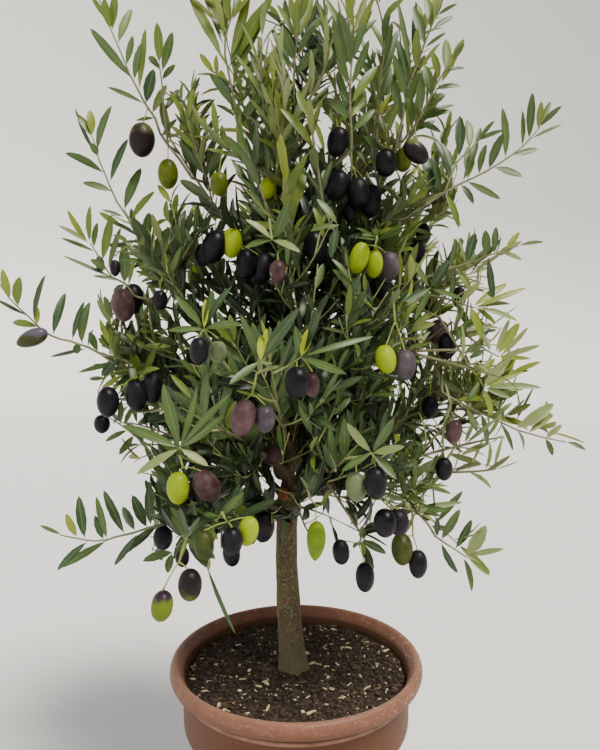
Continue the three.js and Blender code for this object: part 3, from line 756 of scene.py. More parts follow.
def bark_relief(x, y, z):
    """How far the bark stands out: long ridges, low swellings and small pits."""
    ridges = abs(noise.fractal((x / 4.2, y / 4.2, z / 15), 0.8, 2, 3))
    swellings = noise.fractal((x / 15, y / 15, z / 26), 0.9, 2, 2)
    pits = noise.noise((x / 2.1, y / 2.1, z / 2.8))
    rings = noise.noise((x / 30, y / 30, z / 2.4))
    return 0.8 * swellings - 0.42 * ridges + 0.2 * pits + 0.12 * rings


def vertices_of(piece):
    """The vertices and their normals, with the vertices in millimetres."""
    count = len(piece.data.vertices)
    places, normals = np.zeros(count * 3), np.zeros(count * 3)
    piece.data.vertices.foreach_get("co", places)
    piece.data.vertices.foreach_get("normal", normals)
    return places.reshape(-1, 3) / MM, normals.reshape(-1, 3)


def fading(value, start, length, least):
    return np.clip(start - value / length, least, 1)


_places, _normals = vertices_of(wood)
_height = _places[:, 2] - SOIL_TOP
_axis_x = FOOT_X - SWAY * np.sin(math.pi * _height / SWAY_LENGTH)
_axis_y = FOOT_Y + LEAN_BACK * (_height / TRUNK_LENGTH) ** 2
_off_axis = np.hypot(_places[:, 0] - _axis_x, _places[:, 1] - _axis_y)
_strength = fading(_off_axis, *RELIEF_PAST_AXIS) * fading(_height, *RELIEF_PAST_SOIL)
_relief = np.array([bark_relief(*place) for place in _places]) * _strength
wood.data.vertices.foreach_set("co", ((_places + _normals * _relief[:, None]) * MM).ravel())
wood.data.polygons.foreach_set("use_smooth", np.ones(len(wood.data.polygons), bool))
wood.data.update()
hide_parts("trunk", *["bough_" + limb.name for limb in limbs])

# Pruning scar: the cut end of a branch just above the fork, of bare orange-brown heartwood
# that has checked as it dried, in a rolled lip of bark.
SCAR_RADIUS = STUB_RADIUS * 0.92
SCAR_DEPTH = 3
SCAR = (0.34, 0.12, 0.035)
SCAR_DARK = (0.1, 0.035, 0.015)
SCAR_RINGS = 9
SCAR_SEGMENTS = 40
SCAR_CHECKS = 0.6  # how high its face is between the checks
_scar_profile = [
    (SCAR_RADIUS * i / SCAR_RINGS, 0.9 - 0.7 * (i / SCAR_RINGS) ** 3) for i in range(SCAR_RINGS + 1)
]
_scar_profile = [(0, -SCAR_DEPTH), (SCAR_RADIUS, -SCAR_DEPTH), *_scar_profile[::-1]]
_vertices, _faces = turned(_scar_profile, SCAR_SEGMENTS)
_side_way = unit(np.cross(UP, _stub_way))
_head_way = np.cross(_stub_way, _side_way)
for vertex in _vertices:
    if vertex[2] > 0:
        vertex[2] += SCAR_CHECKS * noise.noise((vertex[0] / 1.4, vertex[1] / 5, 3))
_vertices = _stub_end + _vertices @ np.array([_side_way, _head_way * 1.1, _stub_way])
heartwood, _shader = new_material("heartwood", SCAR, 0.7)
_grain_place = place_in(_shader, (1, 1, 0.3))
_checks, _check_height = mottled(_grain_place, scale=380, cover=0.42, softness=0.08)
_skin = blended(_checks, SCAR, SCAR_DARK)
dress(_shader, _skin, _check_height, strength=0.7, distance=1)
make_piece("pruning_scar", _vertices, _faces, [heartwood], "bark")


# Twigs: each limb's stem grows on from its bough to the reach of its last leaf, with side
# shoots by the tree's own rule, which bow down and turn up to the light, and finer twigs on
# those. Old stems are grey-brown, shoots pale yellow-green.
SIDE_SHOOTS = 12
SHOOT_SPAN = (0.04, 0.93)
SHOOT_LENGTH = 118
SHOOT_LENGTHS = (0.7, 1.15)
SHOOT_TAPER = 0.52
SHOOT_ANGLE = 46
SHOOT_ANGLES = (0.8, 1.25)
SHOOT_SCATTER = 40
GOLDEN_ANGLE = 137.5
TURN_UP = 0.32
MODULUS = 2147483647
MULTIPLIER = 48271
WARM_UP = 4
SEEDS_APART = 1000
LEAF_LENGTH = 50
STEM_STEPS = 16
SHOOT_STEPS = 7
SHOOT_RADIUS = 1.45
TWIG_RADIUS = 1.0
TWIG_END = 0.55
TWIG_SHARES = (0.3, 0.55, 0.78)  # of a side shoot, where finer twigs leave it
TWIG_LENGTHS = (26, 62)
TWIG_TAPER = 0.35
TWIG_ANGLES = (34, 58)
TWIG_ROLLS = (40, 140)
SHORTEST_FORKED = 44  # side shoots shorter than this stay without twigs
SHOOT_ROOM = 1.2  # clear of other wood
TWIG_ROOM = 1
OPEN_FROM = 0.42  # of a stem: past there it is a bare wand with leaves and a few short shoots
OPEN_LENGTH = 0.38  # of a side shoot's full length, at the wand's end
UPRIGHT = 0.75  # how far the finer twigs of the upper crown turn up
UPRIGHT_FROM = 640
UPRIGHT_GAIN = 1.35  # and how much longer they are
INNER_SHOOTS = 5  # on each bough, besides its stem's own
INNER_FROM = 0.13
INNER_ANGLES = (45, 75)
INNER_LENGTHS = (55, 100)
INNER_SLACK = 40  # how far they may reach into the next mass's space
LEADER_SHOOTS = 44
LEADER_FROM = 262
LEADER_RISES = (0.5, 1.1)
LEADER_LENGTHS = (60, 115)
LEADER_SLACK = 60
LARGE_LEAVES = 1.16  # size of those at the ends of limbs that reach past the front
LARGE_IN_FRONT = -200
STEM_SHARE = 0.66  # of a limb's radius: past its bough it is more slender
STEM_WOOD = (0.13, 0.11, 0.058)
YOUNG_WOOD = (0.125, 0.14, 0.045)
YOUNG_FROM = (0.13, 0.24)  # metres from the axis, where a stem's wood turns young
SHOOT_WOOD = (0.24, 0.28, 0.075)


def seeded(seed):
    """A repeatable stream of numbers from 0 to 1."""
    state = seed % (MODULUS - 1) + 1

    def draw():
        nonlocal state
        state = state * MULTIPLIER % MODULUS
        return state / MODULUS

    for _ in range(WARM_UP):
        draw()
    return draw


def leaning(along, angle, roll):
    """The directions at an angle from along, turned about it by a roll, in degrees."""
    along = np.atleast_2d(along)
    angle, roll = np.radians(np.atleast_1d(angle)), np.radians(np.atleast_1d(roll))
    steep = np.abs(along[:, 2:]) >= 0.9
    side = unit(np.cross(along, np.where(steep, level_way(0), UP)))
    other = np.cross(side, along)
    swing = side * np.cos(roll)[..., None] + other * np.sin(roll)[..., None]
    return along * np.cos(angle)[..., None] + swing * np.sin(angle)[..., None]


def way_at(curve, share):
    """A curve's direction at a share of it."""
    low, high = max(0, share - 0.02), min(1, share + 0.02)
    return unit(curve_of(*curve, high) - curve_of(*curve, low))


def chain_of(points, radii):
    """A line of points as links: starts, steps and radii."""
    thick = np.maximum(radii[:-1], radii[1:])
    return np.hstack([points[:-1], points[1:] - points[:-1], thick[:, None]])


def distances(chain, points):
    """From each point to each link's middle line."""
    start, step = chain[None, :, :3], chain[None, :, 3:6]
    offset = points[:, None] - start
    share = np.clip((offset * step).sum(2) / (step * step).sum(2), 0, 1)
    return np.linalg.norm(offset - step * share[..., None], axis=2)


all_limbs = limbs + slight_limbs
stems = []
for number, limb in enumerate(all_limbs):
    _from = BOUGH_SHARE if number < len(limbs) else 0
    _shares = mix(_from, 1, np.linspace(0, 1, STEM_STEPS + 1))
    _points = curve_of(*limb.curve, _shares)
    stems.append(SimpleNamespace(start=_from, chain=chain_of(_points, np.zeros(len(_points)))))
_heights = np.linspace(0, TRUNK_LENGTH, 41)
_points = np.array([trunk_middle(height) for height in _heights])
wood_chain = [chain_of(_points, np.array([trunk_radius(height) for height in _heights]))]
_shares = np.linspace(0.02, BOUGH_SHARE, 7)
for limb in limbs:
    _points = curve_of(*limb.curve, _shares)
    wood_chain.append(chain_of(_points, limb.radius * mix(1, TIP_SHARE, _shares)))
wood_chain = np.vstack(wood_chain)
stem_links = np.vstack([stem.chain for stem in stems])
stem_owner = np.repeat(np.arange(len(stems)), [len(stem.chain) for stem in stems])


def in_own_space(points, owner, slack):
    """Whether points lie nearer to their own mass's stem than to any other, give or take."""
    away = distances(stem_links, points)
    mine = stem_owner[None] == np.reshape(owner, (-1, 1))
    own = np.where(mine, away, np.inf).min(1)
    other = np.where(mine, np.inf, away).min(1)
    return own < other + slack


def clear_of_wood(points, room):
    """Whether points stand off the trunk and the boughs by more than this room."""
    return ((distances(wood_chain, points) - wood_chain[None, :, 6]) > room).all(1)


def bowed(root, along, length, lift):
    """A shoot that turns up to the light along its length."""
    share = np.linspace(0, 1, SHOOT_STEPS + 1)[:, None]
    return root + along * length * share + UP * length * lift * share**2


FREE = -1  # the mass of a shoot that is held to no mass's space
BARE = 0  # the leaf size of a shoot whose leaves are posed one by one
shoots = []


def add_shoot(points, radii, owner, order, seed, leaf=1.0):
    """A line of points with its radii, its mass, its order (0 for a stem, 1 for a side shoot
    and 2 for a twig), its own seed and its leaves' size."""
    shoots.append(SimpleNamespace(
        points=points, radii=radii, owner=owner, order=order, seed=seed, leaf=leaf,
    ))


def fits(points, owner, slack, room):
    """Whether a shoot stays in its mass's space and off the wood."""
    return in_own_space(points[2:], owner, slack).all() and clear_of_wood(points[2:], room).all()


def add_side(root, along, length, owner, seed, slack):
    """A side shoot with its finer twigs, if it stays in its mass's space."""
    lift = TURN_UP * (1 - along[2])
    points = bowed(root, along, length, lift)
    if not fits(points, owner, slack, SHOOT_ROOM):
        return
    add_shoot(points, np.linspace(SHOOT_RADIUS, TWIG_END, len(points)), owner, 1, seed)
    draw = seeded(seed * 7 + 3)
    for i, share in enumerate(TWIG_SHARES):
        fine_length = mix(*TWIG_LENGTHS, draw()) * (1 - TWIG_TAPER * share)
        fine_root = root + along * length * share + UP * length * lift * share**2
        growth = unit(along + UP * 2 * lift * share)
        angle, roll = mix(*TWIG_ANGLES, draw()), 180 * i + mix(*TWIG_ROLLS, draw())
        fine_along = leaning(growth, angle, roll)[0]
        if root[2] > UPRIGHT_FROM:
            fine_along = unit(fine_along + UP * UPRIGHT)
            fine_length *= UPRIGHT_GAIN
        fine = bowed(fine_root, fine_along, fine_length, TURN_UP * (1 - fine_along[2]))
        if length >= SHORTEST_FORKED and fits(fine, owner, slack, TWIG_ROOM):
            add_shoot(fine, np.linspace(TWIG_RADIUS, TWIG_END, len(fine)), owner, 2, seed * 7 + i)


for number, limb in enumerate(all_limbs):
    _from = stems[number].start
    _shares = mix(max(0, _from - 0.02), 1, np.linspace(0, 1, STEM_STEPS + 1))
    _points = curve_of(*limb.curve, _shares)
    _last = limb.leaf_tip - limb.curve[2]
    _past_tip = np.array([0.5, 1])[:, None] * (LEAF_REACH - LEAF_LENGTH) / LEAF_REACH
    _ends = limb.curve[2] + _last * _past_tip
    _slender = mix(1, STEM_SHARE, np.minimum(1, (_shares - _shares[0]) * 6))
    _radii = np.append(limb.radius * mix(1, TIP_SHARE, _shares) * _slender, [0.8, 0.6])
    _leaf = LARGE_LEAVES if _ends[1][0] < LARGE_IN_FRONT else 1
    add_shoot(np.vstack([_points, _ends]), _radii, number, 0, number + 1, _leaf)
    for k in range(SIDE_SHOOTS):
        _seed = SEEDS_APART * (number + 1) + k
        _draw = seeded(_seed)
        _share = mix(*SHOOT_SPAN, (k + _draw() / 2) / SIDE_SHOOTS)
        _roll = GOLDEN_ANGLE * k + SHOOT_SCATTER * _draw()
        _length = SHOOT_LENGTH * (1 - SHOOT_TAPER * _share) * mix(*SHOOT_LENGTHS, _draw())
        _angle = SHOOT_ANGLE * mix(*SHOOT_ANGLES, _draw())
        if _share > OPEN_FROM:
            _length *= mix(0.85, OPEN_LENGTH, (_share - OPEN_FROM) / (1 - OPEN_FROM))
            if k % 2:
                continue
        _on_limb = mix(_from, 1, _share)
        _along = leaning(way_at(limb.curve, _on_limb), _angle, _roll)[0]
        add_side(curve_of(*limb.curve, _on_limb), _along, _length, number, _seed, 0)

# Inner shoots stand on the boughs and on the leader, and close the crown round the trunk.
for number, limb in enumerate(limbs):
    for k in range(INNER_SHOOTS):
        _seed = SEEDS_APART * (number + 101) + k
        _draw = seeded(_seed)
        _share = mix(INNER_FROM, BOUGH_SHARE + 0.03, (k + _draw()) / INNER_SHOOTS)
        _angle, _roll = mix(*INNER_ANGLES, _draw()), GOLDEN_ANGLE * k + 90 * _draw()
        _along = leaning(way_at(limb.curve, _share), _angle, _roll)[0]
        _root = curve_of(*limb.curve, _share)
        add_side(_root, _along, mix(*INNER_LENGTHS, _draw()), number, _seed, INNER_SLACK)
for k in range(LEADER_SHOOTS):
    _seed = SEEDS_APART * 201 + k
    _draw = seeded(_seed)
    _root = trunk_middle(mix(LEADER_FROM, TRUNK_LENGTH - 12, (k + _draw()) / LEADER_SHOOTS))
    _along = unit(level_way(GOLDEN_ANGLE * k + 30 * _draw()) + UP * mix(*LEADER_RISES, _draw()))
    _end = bowed(_root, _along, 80, TURN_UP)[-1:]
    _owner = int(stem_owner[distances(stem_links, _end)[0].argmin()])
    add_side(_root, _along, mix(*LEADER_LENGTHS, _draw()), _owner, _seed, LEADER_SLACK)


# Bearing shoots: those that the picture shows at the crown's front, each grown from the
# nearest twig behind it to where it ends in a rosette of leaves or in a cluster's stalk, and
# the open wands of the crown's edge, which show leaf by leaf.
#
# Rosettes: the column and row of each one's middle in the picture, how far back it is, the
# kind of its leaves, and the place of each leaf's tip there.
ROSETTES = [
    (261, 361, -262, "broad", [
        (241, 314), (297, 307), (222, 352), (286, 322), (302, 367), (228, 384), (252, 322),
    ]),
    (301, 357, -236, "broad", [
        (293, 326), (319, 309), (378, 332), (345, 374), (318, 398), (284, 394),
    ]),
    (180, 448, -258, "pale", [
        (146, 399), (163, 385), (201, 389), (134, 472), (120, 423), (224, 392), (207, 466), (222, 418),
    ]),
    (204, 329, -215, "broad", [
        (176, 293), (226, 284), (168, 330), (240, 318), (192, 372), (180, 352), (214, 290),
    ]),
    (372, 453, -205, "pale", [
        (345, 425), (392, 418), (340, 468), (404, 448), (352, 490), (398, 478),
    ]),
    (430, 288, -150, "broad", [
        (408, 258), (452, 262), (404, 300), (462, 300), (440, 326), (418, 322),
    ]),
    (338, 225, -170, "broad", [
        (318, 196), (352, 188), (310, 226), (362, 244), (330, 256), (372, 214),
    ]),
    (272, 240, -190, "pale", [
        (250, 214), (292, 206), (244, 244), (300, 246), (262, 272), (286, 266),
    ]),
]
FRONT = np.array([0, -1, 0.45])  # what the upper faces of posed leaves look towards
YOUNG = 2.0  # brightness that stands for leaves at a shoot's growing tip
SILVER = 3.0  # and for leaves that show their pale side
# Single leaves by the same rule, and the shoot that hangs towards the rim.
POSED_LEAVES = [
    (261, 361, -264, "young", [(266, 328), (260, 336)]),
    (301, 357, -238, "young", [(311, 332), (304, 328)]),
    (204, 329, -217, "young", [(208, 299)]),
    (286, 503, -24, "dark", [(238, 500), (283, 547)]),
    (360, 540, -100, "dark", [(375, 571), (387, 551), (372, 520)]),
    (206, 563, -225, "slim", [(230, 638)]),
]
HANGING_SHOOT = (208, 570, -225, "slim", [])
# Where the shoots that bear the clusters of olives end.
CLUSTER_NODES = [
    (393, 292), (257, 372), (351, 147), (377, 236), (180, 455), (360, 541),
    (412, 510), (186, 538), (222, 512), (142, 375), (385, 494), (240, 236),
]
NEAR_VIEW = 540  # distance ahead of the camera at which the crown's front stands
CLUSTER_WIDTH = 24  # pixels to each side within which a cluster hangs in front of the twigs
CLUSTER_DROP = 34
CLUSTER_FORWARD = 80  # at most, from its own twig
CLUSTER_HANG = 28  # pixels from its node down to its middle
SOONER_ELSEWHERE = 1000  # added to the distance of a twig that a shoot shouldn't start from
TWIG_BEHIND = 12  # how far behind its end a shoot's twig is at least
ROSETTE_SEEDS = 5000
CLUSTER_SEEDS = 6000
WAND_SEEDS = 7000
POSED_SEEDS = 8000
# Wands: the column and row where the picture shows each one start, pass and end in its last
# leaf, how far forward its two ends are, and the size of its leaves.
WANDS = [
    (322, 140, 322, 75, 331, -8, -90, -110, 0.9), (268, 150, 262, 90, 262, -4, -70, -90, 1),
    (290, 170, 284, 105, 278, 16, -110, -130, 0.9), (240, 190, 214, 140, 208, 88, -80, -100, 0.9),
    (215, 190, 190, 130, 170, 62, -60, -90, 0.9), (330, 190, 312, 130, 310, 70, -150, -160, 0.9),
    (376, 190, 370, 140, 372, 88, -20, -50, 0.9), (270, 210, 250, 160, 232, 112, -140, -160, 0.9),
    (462, 345, 492, 330, 522, 318, -60, -80, 0.8), (430, 330, 478, 345, 524, 352, -40, -60, 0.8),
    (445, 375, 490, 374, 532, 362, -140, -160, 0.75), (440, 285, 470, 262, 498, 244, -60, -80, 0.8),
    (430, 400, 472, 412, 514, 402, -60, -80, 0.8), (440, 420, 485, 440, 532, 452, -90, -110, 0.85),
    (215, 415, 165, 386, 104, 362, -20, -40, 0.9), (210, 440, 150, 428, 84, 418, -30, -30, 0.9),
    (215, 400, 160, 370, 96, 376, 0, -20, 0.85), (215, 470, 165, 455, 100, 470, -30, -30, 0.9),
    (205, 430, 150, 405, 96, 404, 20, 20, 0.85), (200, 385, 150, 350, 108, 328, -60, -80, 0.85),
    (220, 455, 160, 445, 106, 442, 10, 0, 0.85), (220, 440, 185, 420, 140, 430, -160, -190, 0.8),
    (455, 455, 490, 470, 512, 490, -60, -70, 0.9), (335, 480, 362, 535, 384, 560, -90, -110, 0.9),
    (450, 300, 480, 290, 512, 270, -40, -60, 0.72), (440, 350, 472, 364, 505, 378, -20, -40, 0.72),
    (435, 380, 468, 394, 502, 396, -60, -80, 0.72), (445, 410, 475, 426, 516, 438, -20, -40, 0.72),
    (430, 440, 460, 450, 490, 464, -30, -50, 0.75), (450, 330, 480, 320, 510, 302, -90, -110, 0.72),
    (425, 345, 455, 350, 486, 340, -110, -130, 0.7), (420, 420, 450, 418, 480, 428, -110, -120, 0.7),
    (175, 395, 140, 412, 110, 420, -80, -100, 0.72),
]
WAND_STEPS = 14
BEARING_RADII, WAND_RADII, POSED_RADII = (1.5, 1.0), (1.7, 0.6), (1.8, 0.7)  # from foot to tip
# Where the picture shows no more of the tree than a posed wand: left, top, right and bottom.
CLEARINGS = [
    (-90, 258, 98, 382), (0, 478, 148, 582), (459, 60, 640, 222), (30, -90, 156, 204),
]
# Posed wands: how far forward their foot and their tip are, the line of their stem, and each
# leaf's root, tip, width and brightness, as the picture shows them; the brightness paints the
# light and shade on each leaf as well as its own tone.
POSED_WANDS = [
    (-100, -130,
     [(182, 523), (160, 525), (148, 528), (133, 533), (115, 537), (107, 540), (95, 541), (85, 540),
      (70, 537), (60, 535)],
     [(62, 535, 39, 524, 4, 0.3), (77, 537, 65, 515, 8, 1), (85, 539, 76, 497, 10, 0.2),
      (104, 540, 92, 517, 7, 0.2), (107, 540, 98, 497, 8, 0.3), (125, 535, 103, 489, 10, 0.2),
      (135, 531, 122, 506, 9, 0.2), (147, 528, 131, 496, 11, 0.2), (151, 526, 145, 483, 10, 0.2),
      (165, 525, 161, 480, 11, 0.03), (88, 541, 55, 569, 8, 0.2), (108, 540, 59, 568, 8, 0.3),
      (138, 533, 115, 567, 7, 0.2), (150, 527, 121, 560, 8, 0.2), (158, 525, 130, 545, 8, 0.2),
      (172, 524, 160, 500, 9, 0.03)]),
    (-60, -112,
     [(150, 366), (130, 361), (115, 357), (103, 355), (97, 352), (88, 347), (78, 344), (70, 341),
      (60, 339), (52, 336), (45, 332), (40, 328), (35, 323), (28, 316), (18, 307), (10, 299), (3, 289),
      (-2, 281)],
     [(-2, 281, -10, 258, 6, 0.6), (28, 316, -6, 300, 4, 0.3), (39, 327, 5, 319, 8, 0.6),
      (18, 307, 17, 274, 12, 0.6), (34, 322, 37, 274, 8, 0.2), (37, 325, 37, 306, 6, 0.8),
      (53, 336, 62, 288, 9, 0.2), (72, 341, 80, 301, 6, 0.3), (82, 345, 80, 300, 11, 0.4),
      (98, 352, 89, 329, 8, 0.4), (88, 347, 90, 330, 4, 0.2), (10, 299, 1, 270, 8, 1),
      (76, 343, 78, 354, 8, 0.2), (88, 348, 45, 359, 4, 0.2), (108, 356, 110, 302, 8, 0.2),
      (116, 357, 128, 311, 10, 0.7), (120, 358, 99, 375, 11, 0.2), (124, 360, 104, 320, 7, 0.3),
      (130, 361, 137, 384, 8, 0.4), (118, 358, 96, 384, 4, 0.3), (140, 364, 122, 392, 8, 0.2),
      (128, 361, 76, 370, 6, 0.4)]),
    (-60, -40,
     [(405, 219), (420, 208), (433, 200), (445, 192), (456, 186), (464, 182), (473, 178), (487, 171),
      (500, 163), (512, 155), (522, 147), (530, 139), (540, 127)],
     [(531, 139, 562, 122, 4, 0.4), (540, 127, 560, 104, 6, 0.5), (489, 170, 499, 132, 9, 0.3),
      (505, 159, 507, 107, 9, 0.4), (522, 147, 524, 110, 6, 0.3), (529, 140, 532, 92, 8, 0.4),
      (538, 130, 540, 101, 7, 0.7), (540, 127, 548, 100, 6, 0.7), (512, 155, 539, 151, 7, 0.4),
      (494, 167, 522, 178, 10, 0.3), (466, 181, 500, 200, 8, 0.4), (460, 184, 477, 200, 7, 0.2),
      (479, 175, 482, 140, 7, 0.4), (467, 180, 474, 140, 11, 0.5), (452, 188, 442, 126, 8, 0.2),
      (433, 200, 427, 142, 12, 0.2), (440, 195, 436, 153, 8, 0.3), (445, 192, 464, 224, 7, 0.6),
      (462, 183, 486, 128, 7, 0.5)]),
    (-70, -60,
     [(445, 192), (456, 163), (468, 151), (478, 142)],
     [(459, 158, 463, 111, 10, 0.2), (469, 150, 471, 115, 9, 0.7), (478, 142, 493, 118, 5, 0.4),
      (476, 143, 480, 125, 5, 0.5), (478, 141, 502, 126, 5, 0.3), (452, 172, 446, 140, 7, 0.3)]),
    (-50, -30,
     [(192, 178), (180, 160), (168, 145), (160, 133), (155, 118), (148, 108), (143, 100), (137, 88),
      (130, 75), (125, 63), (119, 48), (111, 30), (105, 14), (98, -4)],
     [(98, -4, 84, -32, 6, 0.6), (133, 80, 86, 24, 9, 0.5), (145, 104, 105, 84, 6, 0.4),
      (118, 44, 128, 4, 8, 0.7), (126, 66, 135, 34, 7, 0.4), (134, 81, 141, 42, 9, 0.5),
      (139, 91, 145, 26, 7, 0.5), (146, 104, 152, 68, 11, 0.2), (111, 30, 101, -2, 8, 0.7),
      (112, 31, 118, -8, 10, 0.6), (108, 22, 92, -6, 5, 0.5), (155, 118, 136, 120, 5, 0.3),
      (152, 114, 166, 84, 8, 0.5), (162, 137, 176, 118, 7, 0.4), (100, 0, 108, -30, 7, 0.7)]),
    (-50, -70,
     [(168, 145), (164, 110), (162, 84), (159, 62)],
     [(159, 64, 160, 23, 9, 0.6), (162, 72, 174, 33, 10, 0.4), (162, 80, 175, 65, 7, 0.4),
      (160, 70, 145, 49, 7, 0.4), (163, 100, 184, 96, 6, 0.3), (164, 112, 182, 84, 7, 0.4)]),
    (-30, -60,
     [(160, 275), (150, 258), (141, 243), (137, 236), (131, 223), (124, 212), (117, 202), (111, 189),
      (105, 174), (99, 160), (96, 148), (92, 136)],
     [(92, 136, 91, 107, 8, 0.8), (92, 137, 77, 110, 8, 0.8), (97, 152, 103, 101, 9, 0.4),
      (100, 160, 65, 108, 4, 0.2), (105, 174, 63, 142, 8, 0.3), (110, 183, 125, 134, 9, 0.3),
      (113, 192, 82, 179, 8, 0.3), (124, 211, 138, 163, 10, 0.4), (131, 221, 150, 186, 8, 0.6),
      (98, 156, 92, 142, 7, 0.4), (143, 243, 152, 212, 10, 0.3), (138, 236, 112, 218, 5, 0.2),
      (124, 217, 102, 209, 4, 0.2), (140, 241, 119, 243, 4, 0.4), (152, 264, 165, 224, 12, 0.3),
      (143, 246, 138, 264, 4, 0.3), (155, 268, 181, 240, 9, 0.5)]),
    (-50, -50,
     [(150, 300), (134, 296), (126, 284), (112, 277), (104, 266), (96, 252), (90, 243)],
     [(90, 243, 88, 205, 8, 0.6), (94, 248, 95, 222, 7, 0.3), (88, 242, 64, 212, 6, 0.8),
      (89, 243, 60, 223, 5, SILVER), (96, 252, 61, 236, 4, 0.5), (102, 262, 112, 214, 9, 0.5),
      (108, 270, 119, 226, 6, 0.4), (98, 254, 103, 273, 9, 0.2), (124, 284, 128, 245, 12, 0.5),
      (128, 286, 137, 257, 6, 0.5), (116, 279, 62, 256, 4, 0.5), (120, 281, 93, 273, 4, 0.4),
      (130, 297, 85, 286, 5, 0.8), (125, 284, 110, 294, 8, 0.3), (107, 270, 92, 258, 7, 0.4),
      (132, 294, 146, 264, 9, 0.4), (140, 298, 112, 312, 7, 0.4), (134, 296, 150, 312, 7, 0.3)]),
    (-30, -50,
     [(165, 455), (140, 440), (128, 430), (118, 423), (108, 417)],
     [(108, 417, 62, 404, 5, 0.6), (118, 423, 100, 432, 6, 0.3), (120, 424, 122, 400, 6, 0.4),
      (128, 430, 104, 440, 6, 0.4), (134, 435, 120, 455, 7, 0.3), (124, 427, 132, 402, 6, 0.5),
      (145, 444, 128, 420, 8, 0.2), (112, 419, 96, 398, 6, 0.3)]),
    (-20, -30,
     [(190, 375), (160, 376), (138, 372), (122, 368), (110, 372), (102, 382), (98, 392)],
     [(138, 372, 118, 392, 8, 0.3), (128, 370, 112, 350, 7, 0.4), (150, 374, 134, 396, 8, 0.2),
      (114, 370, 94, 362, 5, 0.4), (122, 368, 100, 350, 6, 0.3), (160, 376, 146, 400, 9, 0.2),
      (146, 373, 140, 346, 8, 0.5), (106, 378, 88, 380, 5, 0.5)]),
    (-120, -140,
     [(205, 515), (190, 530), (176, 548)],
     [(174, 552, 142, 557, 9, 0.3), (176, 548, 148, 543, 8, 0.3), (172, 553, 167, 573, 9, 0.3),
      (188, 534, 180, 560, 6, 0.6), (196, 524, 190, 500, 7, 0.4), (184, 538, 168, 520, 8, 0.2),
      (192, 530, 206, 570, 13, 0.3), (190, 532, 214, 560, 9, 0.4), (200, 520, 216, 540, 8, 0.5)]),
    (-100, -130,
     [(442, 392), (448, 396), (466, 406), (492, 418), (517, 430), (545, 438), (566, 442)],
     [(566, 442, 588, 447, 5, 0.5), (517, 430, 532, 450, 6, SILVER), (492, 418, 514, 402, 5, SILVER),
      (515, 429, 560, 404, 12, SILVER), (528, 433, 553, 414, 7, 0.8), (545, 438, 563, 424, 6, SILVER),
      (480, 412, 494, 446, 7, 0.4), (466, 406, 477, 434, 6, SILVER), (470, 408, 497, 400, 6, 0.5),
      (500, 422, 518, 452, 6, 0.4), (456, 400, 488, 396, 6, 0.8), (545, 438, 556, 456, 6, 0.4)]),
    (-90, -130,
     [(440, 318), (455, 343), (470, 368), (480, 380), (484, 388)],
     [(484, 388, 543, 379, 7, SILVER), (484, 387, 526, 372, 6, 0.8), (483, 386, 509, 361, 10, SILVER),
      (484, 388, 494, 416, 6, 0.8), (484, 388, 512, 396, 6, SILVER), (480, 381, 470, 402, 6, 0.5),
      (476, 375, 497, 360, 6, 0.8), (470, 368, 494, 366, 6, 0.4), (462, 355, 488, 337, 7, SILVER),
      (455, 343, 468, 318, 7, 0.5), (466, 361, 452, 372, 7, 0.3), (500, 386, 524, 392, 5, 0.8)]),
    (-80, -120,
     [(452, 322), (470, 338), (486, 350), (499, 357)],
     [(499, 357, 541, 347, 6, SILVER), (499, 357, 531, 359, 5, 0.8), (497, 355, 518, 322, 10, 0.8),
      (495, 354, 507, 317, 6, SILVER), (490, 351, 484, 334, 7, SILVER), (499, 357, 530, 329, 5, SILVER),
      (486, 350, 470, 356, 6, 0.4), (478, 344, 492, 318, 7, 0.5)]),
    (-80, -120,
     [(432, 296), (448, 299), (462, 304), (475, 308)],
     [(475, 308, 522, 313, 6, SILVER), (475, 308, 511, 295, 6, SILVER), (474, 308, 532, 284, 6, 0.8),
      (472, 307, 512, 279, 8, 0.8), (475, 308, 500, 322, 6, 0.5), (470, 306, 486, 338, 8, 1),
      (460, 303, 478, 280, 7, SILVER), (455, 301, 470, 330, 7, 0.4), (448, 299, 458, 276, 6, 0.4)]),
    (-100, -120,
     [(412, 506), (418, 513), (428, 524), (435, 536), (445, 543), (456, 550), (463, 555), (468, 558)],
     [(468, 558, 491, 575, 5, 0.6), (467, 556, 503, 547, 6, SILVER), (463, 557, 478, 591, 8, 0.3),
      (441, 542, 454, 578, 7, 0.2), (466, 556, 488, 528, 13, SILVER), (455, 549, 474, 520, 9, 0.3),
      (441, 540, 459, 510, 9, 0.4), (437, 537, 436, 518, 6, 0.2), (420, 515, 431, 521, 6, 0.2),
      (430, 526, 452, 531, 6, 0.4), (414, 508, 464, 503, 6, SILVER), (416, 510, 448, 509, 7, 0.4)]),
    (-70, -100,
     [(241, 150), (237, 118), (234, 100), (231, 85), (228, 70), (225, 55), (225, 40), (228, 28), (232, 15),
      (234, 2), (236, -10)],
     [(223, 57, 186, -6, 11, 0.5), (224, 47, 202, -6, 5, 0.3), (225, 40, 207, -8, 9, 0.6),
      (226, 36, 221, -12, 10, 0.6), (230, 24, 225, -8, 8, 0.7), (231, 65, 243, 26, 9, 0.3),
      (228, 70, 266, -6, 14, 0.5), (229, 62, 257, -8, 11, 0.6), (232, 78, 272, 9, 8, 0.3),
      (233, 20, 246, -8, 8, 0.7), (232, 20, 241, -16, 6, 0.7), (234, 96, 214, 72, 6, 0.2),
      (236, 110, 212, 66, 9, 0.4), (233, 92, 253, 50, 6, 0.4), (236, 118, 216, 98, 6, 0.3),
      (238, 128, 262, 84, 9, 0.4), (236, 112, 250, 78, 7, 0.3)]),
    (-80, -100,
     [(298, 140), (295, 112), (294, 95), (294, 75), (295, 55), (297, 40), (299, 25), (300, 10), (300, -8)],
     [(293, 76, 271, 23, 9, 0.4), (294, 62, 283, 24, 11, 0.4), (296, 40, 278, -4, 6, 0.5),
